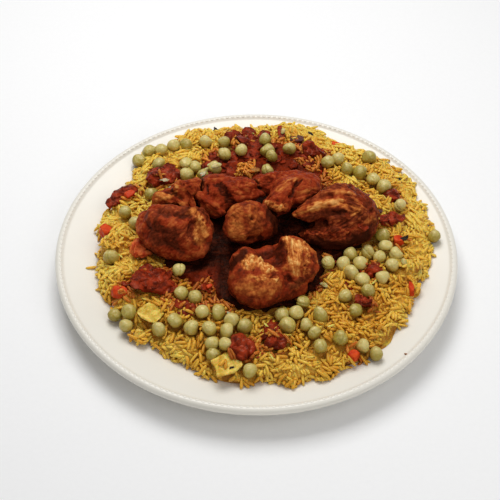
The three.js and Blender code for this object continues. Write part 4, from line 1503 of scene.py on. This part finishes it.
def stewed(node):
    """The skin of one piece of chicken and what is stored on it."""
    work = CHICKEN_WORK[node]
    ropes = [ball for stations in work["ropes"] for ball in rope(stations)]
    points, faces = evened([solid_arrays(node), *ropes])
    points = cut_flat(points, work.get("cuts", []))
    drawn = drawn_out(points, work["muscle"])
    relief, shades, drawn = press_strokes(points, work["strokes"], work["at_first"], drawn)
    raised = np.clip(0.5 + (relief - lumps(points, 9, 1)) * 0.4, 0, 1)
    # Painted shade of hollows and undersides, kept off where a stroke says so.
    hollow_shade = painted_hollow_shade(points, node) * (1 - shades.pop("wiped"))
    shades["dark"] = np.maximum(shades["dark"], hollow_shade)
    fade = stepped(points[:, 2], RELIEF_FROM, RELIEF_FULL)
    shaped = points + skin_ways(points, faces) * (relief * fade)[:, None]
    return shaped, faces, {**shades, "raised": raised, "drawn": drawn}


# %% [markdown]
# ### Sauced flesh
# Stewed flesh has four colours that run into one another: red-brown where the sauce clings, pale
# orange where the flesh is bare, bright red where fresh sauce lies, and nearly black where the skin is
# dark and as painted shade in cracks, hollows and undersides. Raised parts are painted a little lighter
# and low ones darker, also as painted shade.
# The numbers that the strokes stored say which is where, and fine noise breaks the borders up. Dark
# reds look milky when a surface mirrors a white room, so its mirror strength is kept low.

# %% Sauced flesh
def sauced_flesh():
    finish = Finish("sauced_flesh")
    finish.gloss(0.35, 0.03, (1, 0.6, 0.4))
    blotch = finish.noise(6, detail=3)
    fine = finish.noise(2.4, detail=3, rough=0.6)
    fibre = finish.noise(1.5, detail=2, where=finish.stored_place("drawn"))
    raised = finish.stored("raised")
    rough = finish.stored("rough")
    bare = finish.stored("pale")
    flakes = ((fibre - 0.5) * 1.1 + (fine - 0.5) * 0.9) * rough
    # Painted shade: raised parts a little lighter, low ones darker.
    grain = flakes + (raised - 0.5) * 0.35 + (blotch - 0.5) * 0.5 + 0.5
    coat = finish.ramp(
        grain,
        (0.15, (0.054, 0.009, 0.003)),
        (0.45, (0.142, 0.023, 0.008)),
        (0.65, (0.260, 0.046, 0.014)),
        (0.95, (0.460, 0.130, 0.034)),
    )
    fresh = finish.ramp(
        grain,
        (0.15, (0.110, 0.009, 0.003)),
        (0.50, (0.290, 0.033, 0.009)),
        (0.95, (0.580, 0.160, 0.038)),
    )
    flesh = finish.ramp(
        grain + (bare - 0.75) * 0.5,
        (0.15, (0.220, 0.032, 0.008)),
        (0.40, (0.430, 0.104, 0.021)),
        (0.60, (0.620, 0.208, 0.043)),
        (0.95, (0.940, 0.530, 0.170)),
    )
    red = finish.stored("red") + (blotch - 0.5) * 1.3 + (fine - 0.5) * 0.5
    pale = bare + (blotch - 0.5) * 0.8 + (grain - 0.5) * 0.4
    dark = finish.stored("dark") + (blotch - 0.5) * 1.0 - (grain - 0.5) * 0.6
    fresh_share = finish.window(red, 0.25, 0.75)
    bare_share = finish.window(pale, 0.22, 0.95)
    dark_share = finish.window(dark, 0.4, 1.0)
    skin = finish.mix(fresh_share, coat, fresh)
    skin = finish.mix(bare_share, skin, flesh)
    # Nearly black where the strokes and the hollows call for it: painted shade, and dark skin in a few
    # places.
    skin = finish.mix(dark_share * 0.9, skin, (0.034, 0.007, 0.003))
    finish.bump((fibre * 0.6 + fine) * rough, 0.4)
    return finish.paint(base_color=skin)


FLESH = sauced_flesh()
for name in CHICKEN:
    points, faces, stored = stewed(name)
    make_piece(f"stewed_{name}", points, faces, FLESH, "chicken", [name], **stored)

# %% [markdown]
# ## Sauce
# The sauce is a thick tomato stew that lies on the rice between and behind the pieces of chicken. It
# isn't a flat pool: pulp makes it lumpy, and its edge is thin and ragged. It is one closed skin over
# the sauce solid. Under the edges of the chicken it is in shade, so a map of that shade is stored on
# it. Sheets and scraps of soft tomato are scattered on it later.

# %% The skin of sauce
SAUCE_RINGS = 55
SAUCE_COUNT = 240
SAUCE_DEPTH = 2.2
SAUCE_OVER_BED = 0.8
above_the_bed = blurred(np.maximum(chicken_above - bed_height(map_x, map_y), 0), 8)
in_shade = stepped(above_the_bed, 0.4, 5)


def sauce_lumps(x, y):
    flat = np.column_stack([x, y])
    folds = lumps(flat, 9, 31) + 0.5 * np.abs(lumps(flat, 4.5, 32)) + 0.25 * lumps(flat, 1.9, 33)
    return folds - 0.6 * creases(flat, 6, 34)


def sauce_shape():
    ways = circle(SAUCE_COUNT)
    reach = outline(SAUCE_REACH, *ways.T) * (0.97 + 0.06 * lumps(ways, 0.09, 30))
    shares = np.linspace(1 / SAUCE_RINGS, 1, SAUCE_RINGS)
    rings = []
    for share, is_top in [*product(shares, [False]), *product(shares[::-1], [True])]:
        x, y = reach * share * ways.T
        height = bed_height(x, y) - SAUCE_DEPTH
        if is_top:
            thick = SAUCE_DEPTH + SAUCE_OVER_BED + sauce_lumps(x, y)
            height = height + np.maximum(thick * stepped(1.0 - share, 0, 0.06), 0.05)
        rings.append(np.column_stack([x, y, height]))
    return closed(bed_height(0, 0) - SAUCE_DEPTH, rings, bed_height(0, 0) + SAUCE_OVER_BED)


def tomato_sauce():
    finish = Finish("tomato_sauce")
    finish.gloss(0.25, 0.035, (1, 0.6, 0.4))
    thick = finish.noise(7, detail=4, rough=0.6)
    fine = finish.noise(2, detail=3, rough=0.6)
    shaded = finish.stored("shaded")
    pulpy = finish.window(thick * 0.7 + fine * 0.4, 0.4, 0.75)
    lit = finish.mix(pulpy, (0.070, 0.008, 0.003), (0.24, 0.024, 0.005))
    dim_pulp = finish.window(fine * 0.6 + thick * 0.6, 0.5, 0.8)
    shadow = finish.mix(dim_pulp, (0.010, 0.003, 0.002), (0.075, 0.012, 0.004))
    in_shadow = finish.window(shaded + (thick - 0.5) * 1.2, 0.2, 0.9)
    finish.bump(fine, 0.8)
    return finish.paint(base_color=finish.mix(in_shadow * 0.95, lit, shadow))


def make_sauce():
    points, faces = sauce_shape()
    shaded = in_shade[map_index(points[:, 0], points[:, 1])]
    make_piece("tomato_sauce", points, faces, tomato_sauce(), "sauce", ["sauce"], shaded=shaded)


make_sauce()

# %% [markdown]
# ## Tomato, pepper and onion
# The chunks of tomato have cooked soft: their corners are gone and their skin is wrinkled. Pepper
# stays firmer and keeps its corners. Onion goes glassy and yellow, and some light comes through it.
# All start from the solids, get the same even skin as the chicken, and differ in how far they are
# melted and how lumpy they become. One block of tomato at the left lies in the light, and that light is
# painted on: it has a brighter copy of the tomato finish of its own.

# %% Wet finishes
RED_SHINE = (1, 0.6, 0.4)
YELLOW_SHINE = (1, 0.95, 0.7)
WHITE_SHINE = (1, 1, 1)


def wet_finish(name, deep, bright, speck, size=4, tint=RED_SHINE, soft=0.0, shine=0.12):
    """Two colours in blotches of that size in mm, with small specks of a third."""
    finish = Finish(name, subsurface_weight=soft, subsurface_scale=0.002)
    finish.gloss(0.25, shine, tint)
    blotch = finish.noise(size, detail=3, rough=0.6)
    fine = finish.noise(size / 3.5, detail=2)
    color = finish.mix(finish.window(blotch, 0.35, 0.65), deep, bright)
    color = finish.mix(finish.window(fine, 0.6, 0.85) * 0.5, color, speck)
    finish.bump(fine, 0.35)
    return finish.paint(base_color=color)


TOMATO_REDS = ((0.095, 0.008, 0.003), (0.34, 0.034, 0.009), (0.56, 0.13, 0.030))
TOMATO = wet_finish("stewed_tomato", *TOMATO_REDS, 5, shine=0.16)
# A brighter copy of the tomato colours for the block that lies in the light: painted light.
LIT_TOMATO = wet_finish("painted_light_tomato", (0.48, 0.040, 0.012), (0.82, 0.20, 0.05), (0.9, 0.45, 0.16), 5)
PEPPER = wet_finish("sweet_pepper", (0.50, 0.032, 0.008), (0.70, 0.080, 0.016), (0.82, 0.28, 0.06), 6)
ONION_YELLOWS = ((0.60, 0.37, 0.042), (0.86, 0.63, 0.14), (0.95, 0.84, 0.38))
ONION = wet_finish("glassy_onion", *ONION_YELLOWS, 4, YELLOW_SHINE, 0.5)

# %% Softened vegetables
VEGETABLE_KINDS = {
    "tomato": {"finish": TOMATO, "melt": 8, "ragged": 2.2, "creased": 1.3},
    "pepper": {"finish": PEPPER, "melt": 3, "ragged": 0.3, "creased": 0.2},
    "onion": {"finish": ONION, "melt": 3, "ragged": 1.2, "creased": 0.3},
}
LUMPS_OF = {
    "tomato": [(6, 1.0), (2.8, 0.7), (1.5, 0.35)],
    "pepper": [(6, 0.3), (2.0, 0.12)],
    "onion": [(6, 0.4), (1.6, 0.15)],
}
DICED_TO = 0.76


def diced(points, seed):
    """A lump cut straight on four sides and on top, as with a knife."""
    middle = points.mean(0)
    first = np.random.default_rng(seed).uniform(0, 90)
    angles = [math.radians(first + turn) for turn in (0, 90, 180, 270)]
    ways = [*((math.cos(angle), math.sin(angle), 0.1) for angle in angles), (0.1, 0.1, 1)]
    cuts = [(middle, way, DICED_TO * ((points - middle) @ unit(np.array(way))).max()) for way in ways]
    return cut_flat(points, cuts)


def ragged(points, size, seed):
    """Points shifted sideways by noise, so that the outline becomes irregular."""
    shift = np.column_stack([share * lumps(points, 6, seed + i) for i, share in enumerate((1, 1, 0.3))])
    return points + size * shift


for count, name in enumerate([*CHUNKS, *ONIONS]):
    vegetable = name.split("_")[0]
    kind = VEGETABLE_KINDS[vegetable]
    points, faces = evened([solid_arrays(name)], kind["melt"])
    if vegetable == "pepper":
        points = diced(points, count)
    relief = sum(depth * lumps(points, size, 50 + count) for size, depth in LUMPS_OF[vegetable])
    relief -= kind["creased"] * creases(points, 5, 70 + count)
    shaped = ragged(points + skin_ways(points, faces) * relief[:, None], kind["ragged"], 90 + count)
    # The block at the left gets the brighter copy: painted light.
    finish = LIT_TOMATO if name == "tomato_left_block" else kind["finish"]
    make_piece(f"cooked_{name}", shaped, faces, finish, vegetable, [name])

# %% [markdown]
# ## Small things
# The small things make food look cooked: scraps of tomato in the sauce, flakes of garlic, a few dark
# herbs, skins that slipped off the peas, a crumb on the rim and one grain that fell beside the heap.
# Each kind is one mesh: a few soft moulds, copied to random places or to places read off the picture.

# %% Scraps
def scrap_mould(seed, flat, rough):
    """A soft flattened scrap of unit size."""
    points, faces = icosphere(3)
    swollen = 1 + rough * lumps(points, 0.9, seed) + 0.4 * rough * lumps(points, 0.4, seed + 5)
    return points * swollen[:, None] * (1, 0.75, flat), faces


def lay(mould, at, size, turn, tilt=(0, 0)):
    """A mould laid at a place, with its size, its turn about Z and its tilt about X and Y in radians."""
    points, faces = mould
    matrix = np.array(Euler((*tilt, turn)).to_matrix())
    return (points * size) @ matrix.T + at, faces


def scattered(name, spots, moulds, finish, slot, seed):
    """One mesh of scraps: each spot is x, y, z and size."""
    rng = np.random.default_rng(seed)
    shapes = []
    for *at, size in spots:
        mould = moulds[rng.integers(len(moulds))]
        shapes.append(lay(mould, at, size, rng.uniform(0, 6.3), rng.normal(0, 0.25, 2)))
    make_piece(name, *joined(shapes), finish, slot)


SAUCE_TOP = 0.9
SAUCE_BOX = ((-75, -70), (75, 105))


def in_sauce(count, seed, low, high, least_y=SAUCE_BOX[0][1]):
    """Random spots on the sauce, where no chicken covers it."""
    rng = np.random.default_rng(seed)
    spots = []
    while len(spots) < count:
        x, y = rng.uniform((SAUCE_BOX[0][0], least_y), SAUCE_BOX[1])
        cell = map_index(x, y)
        if inside_sauce[cell] < 0.97 and not chicken_above[cell] and in_shade[cell] < 0.5:
            size = rng.uniform(low, high)
            spots.append((x, y, float(bed_height(x, y)) + SAUCE_TOP + 0.25 * size, size))
    return spots


# %% [markdown]
# ### Skins and pulp in the sauce
# Stewed tomato falls apart into soft sheets: flat, folded, a centimetre long, lying over one another.
# A few moulds of flattened balls with folds are laid on the sauce, tilted a little each way.

# %% Skins and pulp in the sauce
PULP = wet_finish("tomato_pulp", (0.085, 0.008, 0.003), (0.30, 0.030, 0.008), (0.50, 0.12, 0.028))


def sheet_mould(seed):
    """A soft folded sheet of unit size."""
    points, faces = scrap_mould(seed, 0.16, 0.5)
    flat = points[:, :2]
    points[:, 2] += 0.28 * lumps(flat, 0.8, seed + 3) - 0.12 * creases(flat, 0.7, seed + 4)
    return points, faces


TOMATO_SPREAD = [
    (-80, -32), (-72, -30), (-64, -32), (-58, -38), (-66, -46), (-76, -46), (-84, -40), (-52, -44),
    (-50, -34), (-96, 48), (-100, 34), (66, -28), (74, -44), (60, -40), (-20, -84), (-12, -90),
    (72, 24), (86, 18), (78, 30), (52, 78), (46, 84), (-62, 62), (-70, 56), (-59, -58), (-50, -54),
    (-46, -58), (-42, -64), (-31, -47), (-28, -54), (-37, -56), (70, -3), (78, 4), (11, -76), (5, -80),
    (19, -79), (44, -31), (49, -25), (40, -37),
]
TOMATO_AT_THE_BACK = [
    (-19, 106), (-13, 108), (-7, 108), (-2, 105), (-16, 101), (-9, 103), (-2, 100), (-19, 95), (-21, 100),
    (32, 94), (28, 88), (36, 88), (4, 102), (-11, 97),
]


def spread_tomato(places, low, high, seed):
    """Spots of x, y, z and size on the heap, where soft tomato ran out and no pea is in its way."""
    rng = np.random.default_rng(seed)
    spots = []
    for place in places:
        size = rng.uniform(low, high)
        if np.hypot(*(all_peas[:, :2] - place).T).min() > PEA_RADIUS + 2:
            spots.append((*place, float(heap_top[map_index(*place)]) - 0.3, size))
    return spots


sheets = [sheet_mould(seed) for seed in range(5)]
pulp_moulds = [scrap_mould(seed, 0.4, 0.5) for seed in range(5)]
in_the_sauce = in_sauce(24, 63, 3.4, 6.5, 45) + in_sauce(20, 65, 2.5, 4.5)
on_the_rice = spread_tomato(TOMATO_SPREAD, 3, 5.5, 66) + spread_tomato(TOMATO_AT_THE_BACK, 4.5, 6.5, 67)
scattered("tomato_sheets", in_the_sauce + on_the_rice, sheets, PULP, "sauce", 64)
scattered("pulp_scraps", in_sauce(90, 61, 0.8, 1.9), pulp_moulds, PULP, "sauce", 62)

# %% [markdown]
# ### Bits and pieces
# Some bits have their own place in the picture: a dark red strip and a purple piece at the back,
# flakes of garlic, a few burnt herbs, skins that slipped off the peas, a crumb on the rim. Each kind
# is one mesh again, and each bit is a mould laid at its place with its own size and turn.

# %% Bits of vegetable
BIT_SINK = 0.3
BIT_TILT = (0.12, -0.1)


def placed(name, mould, spots, finish, slot):
    """One mesh of a mould laid at places: each is x, y, length, width, height and turn in degrees."""
    shapes = []
    for x, y, length, width, height, turn in spots:
        at = (x, y, float(heap_top[map_index(x, y)]) + (0.5 - BIT_SINK) * height)
        half = np.array((length, width, height)) / 2
        shapes.append(lay(mould, at, half, math.radians(turn), BIT_TILT))
    make_piece(name, *joined(shapes), finish, slot)


def slab_mould(seed):
    """A block with soft corners of unit half size."""
    points, faces = icosphere(3)
    points = np.sign(points) * np.abs(points) ** 0.42
    return points * (1 + 0.14 * lumps(points, 0.9, seed))[:, None], faces


slab = slab_mould(4)
PURPLE = wet_finish("purple_skin", (0.045, 0.018, 0.020), (0.16, 0.055, 0.045), (0.32, 0.14, 0.09))
BROWNED = wet_finish("browned_onion", (0.22, 0.075, 0.016), (0.42, 0.18, 0.035), (0.60, 0.34, 0.09), soft=0.3)
placed("red_strip", slab, [(16.5, 108, 5, 12, 3, 4)], TOMATO, "tomato")
placed("red_bits", slab, [(57, 101.5, 7, 4, 2, 160), (-30, -46, 4, 2.5, 2, 30)], PEPPER, "pepper")
placed("purple_bits", slab, [(28, 102, 10, 6, 3, -12), (83, 26, 5, 3, 2, 20)], PURPLE, "onion")
placed("browned_bits", slab, [(-11, 102.5, 8, 8, 2.6, 25), (-2, 62, 7, 4, 2.4, 10)], BROWNED, "onion")
placed("orange_bits", slab, [(-88, 38, 7, 5, 2.5, 40), (44, 66, 4, 2, 2, 70)], PEPPER, "pepper")

# %% Garlic, herbs, skins and crumbs
GARLIC = wet_finish("garlic", (0.42, 0.34, 0.17), (0.64, 0.56, 0.36), (0.76, 0.70, 0.50), 2, WHITE_SHINE, 0.5)
HERB_BROWNS = ((0.010, 0.006, 0.004), (0.035, 0.018, 0.009), (0.08, 0.04, 0.02))
HERB = wet_finish("burnt_herb", *HERB_BROWNS, 2, WHITE_SHINE)
HUSK_GREENS = ((0.42, 0.34, 0.10), (0.64, 0.55, 0.25), (0.74, 0.68, 0.40))
PEA_HUSK = wet_finish("pea_husk", *HUSK_GREENS, 4, YELLOW_SHINE, 0.4)
GARLIC_FLAKES = [(-64, 49, 5), (-60, 46, 3.5), (-38, 53, 4.5), (12, 93, 4.5), (32, -62, 3), (-17, -64, 3)]
HERB_FLAKES = [(-32, 112, 6), (38, 109, 6), (100, 63, 5), (98, 1, 6), (-14, -106, 3)]
PEA_HUSKS = [(-29, 60, 8), (18, 107, 6), (97, -18, 7), (-33, 70, 7), (-36, 64, 6), (44, -40, 6)]


def bits(name, spots, mould, finish, slot, shape, seed):
    """One mesh of bits at x, y, size; shape gives the width and the height as shares of the size."""
    turns = np.random.default_rng(seed).uniform(0, 360, len(spots))
    rows = [(x, y, size, size * shape[0], size * shape[1], turn) for (x, y, size), turn in zip(spots, turns)]
    placed(name, mould, rows, finish, slot)


def husk_mould():
    """Half a pea skin: a shallow bowl with a ragged edge, of unit size."""
    points, faces = scrap_mould(8, 0.22, 0.3)
    points[:, 2] += 0.55 - 0.6 * (points[:, 0] ** 2 + points[:, 1] ** 2)
    return points, faces


bits("garlic_flakes", GARLIC_FLAKES, scrap_mould(2, 0.6, 0.9), GARLIC, "rice", (0.7, 0.35), 1)
bits("burnt_herbs", HERB_FLAKES, scrap_mould(6, 0.5, 1.1), HERB, "rice", (0.6, 0.3), 2)
bits("pea_husks", PEA_HUSKS, husk_mould(), PEA_HUSK, "pea", (0.7, 0.6), 3)


def on_rice(count, seed, low, high, stained):
    """Random spots of x, y, size on the rice, clear of the peas: near the tomato, or anywhere."""
    rng = np.random.default_rng(seed)
    spots = []
    while len(spots) < count:
        x, y = rng.uniform(-125, 125, 2)
        cell = map_index(x, y)
        if obstacles[cell] or not 0.4 < inside_rice[cell] < 0.99 or inside_sauce[cell] < 1:
            continue
        if stain_map[cell] > 0.25 or not stained:
            spots.append((x, y, rng.uniform(low, high)))
    return spots


crumb = scrap_mould(3, 0.6, 0.7)
scrap = scrap_mould(9, 0.4, 0.6)
bits("crumb_on_the_rim", [(94.3, -88.8, 2.2)], crumb, BROWNED, "rice", (0.8, 0.5), 4)
bits("tomato_crumbs", on_rice(90, 5, 1.2, 3.2, True), crumb, PULP, "tomato", (0.7, 0.4), 5)
bits("onion_scraps", on_rice(45, 6, 2.5, 5.5, False), scrap, ONION, "onion", (0.5, 0.25), 6)


def fallen_grain(x, y, turn):
    """One grain that fell on the plate beside the heap."""
    at = (x, y, float(plate_top(math.hypot(x, y))) + 0.9)
    points, faces = lay(grain_moulds[2], at, (GRAIN_LENGTH, GRAIN_WIDTH, GRAIN_WIDTH), math.radians(turn))
    finish = rice_finish("fallen_grain", *YELLOW_GRAIN)
    stored = {"tone": np.full(len(points), 0.6), "depth": np.zeros(len(points))}
    make_piece("fallen_grain", points, faces, finish, "rice", **stored)


fallen_grain(-110, -17.5, 12)

# %% [markdown]
# ## The floor
# The plate stands on a plain pale floor, so wide that no view sees its end.

# %% The floor
FLOOR_SIDE = 6000


def make_floor():
    half = FLOOR_SIDE / 2
    corners = np.array([(-half, -half, 0), (half, -half, 0), (half, half, 0), (-half, half, 0)])
    floor = bpy.data.objects.new("floor", make_mesh("floor", corners, [(0, 1, 2, 3)]))
    paper = Finish("white_paper", roughness=0.9)
    white = paper.mix(paper.noise(3, detail=2), (0.93, 0.93, 0.93), (0.96, 0.96, 0.96))
    floor.data.materials.append(paper.paint(base_color=white))
    bpy.context.scene.collection.objects.link(floor)


make_floor()
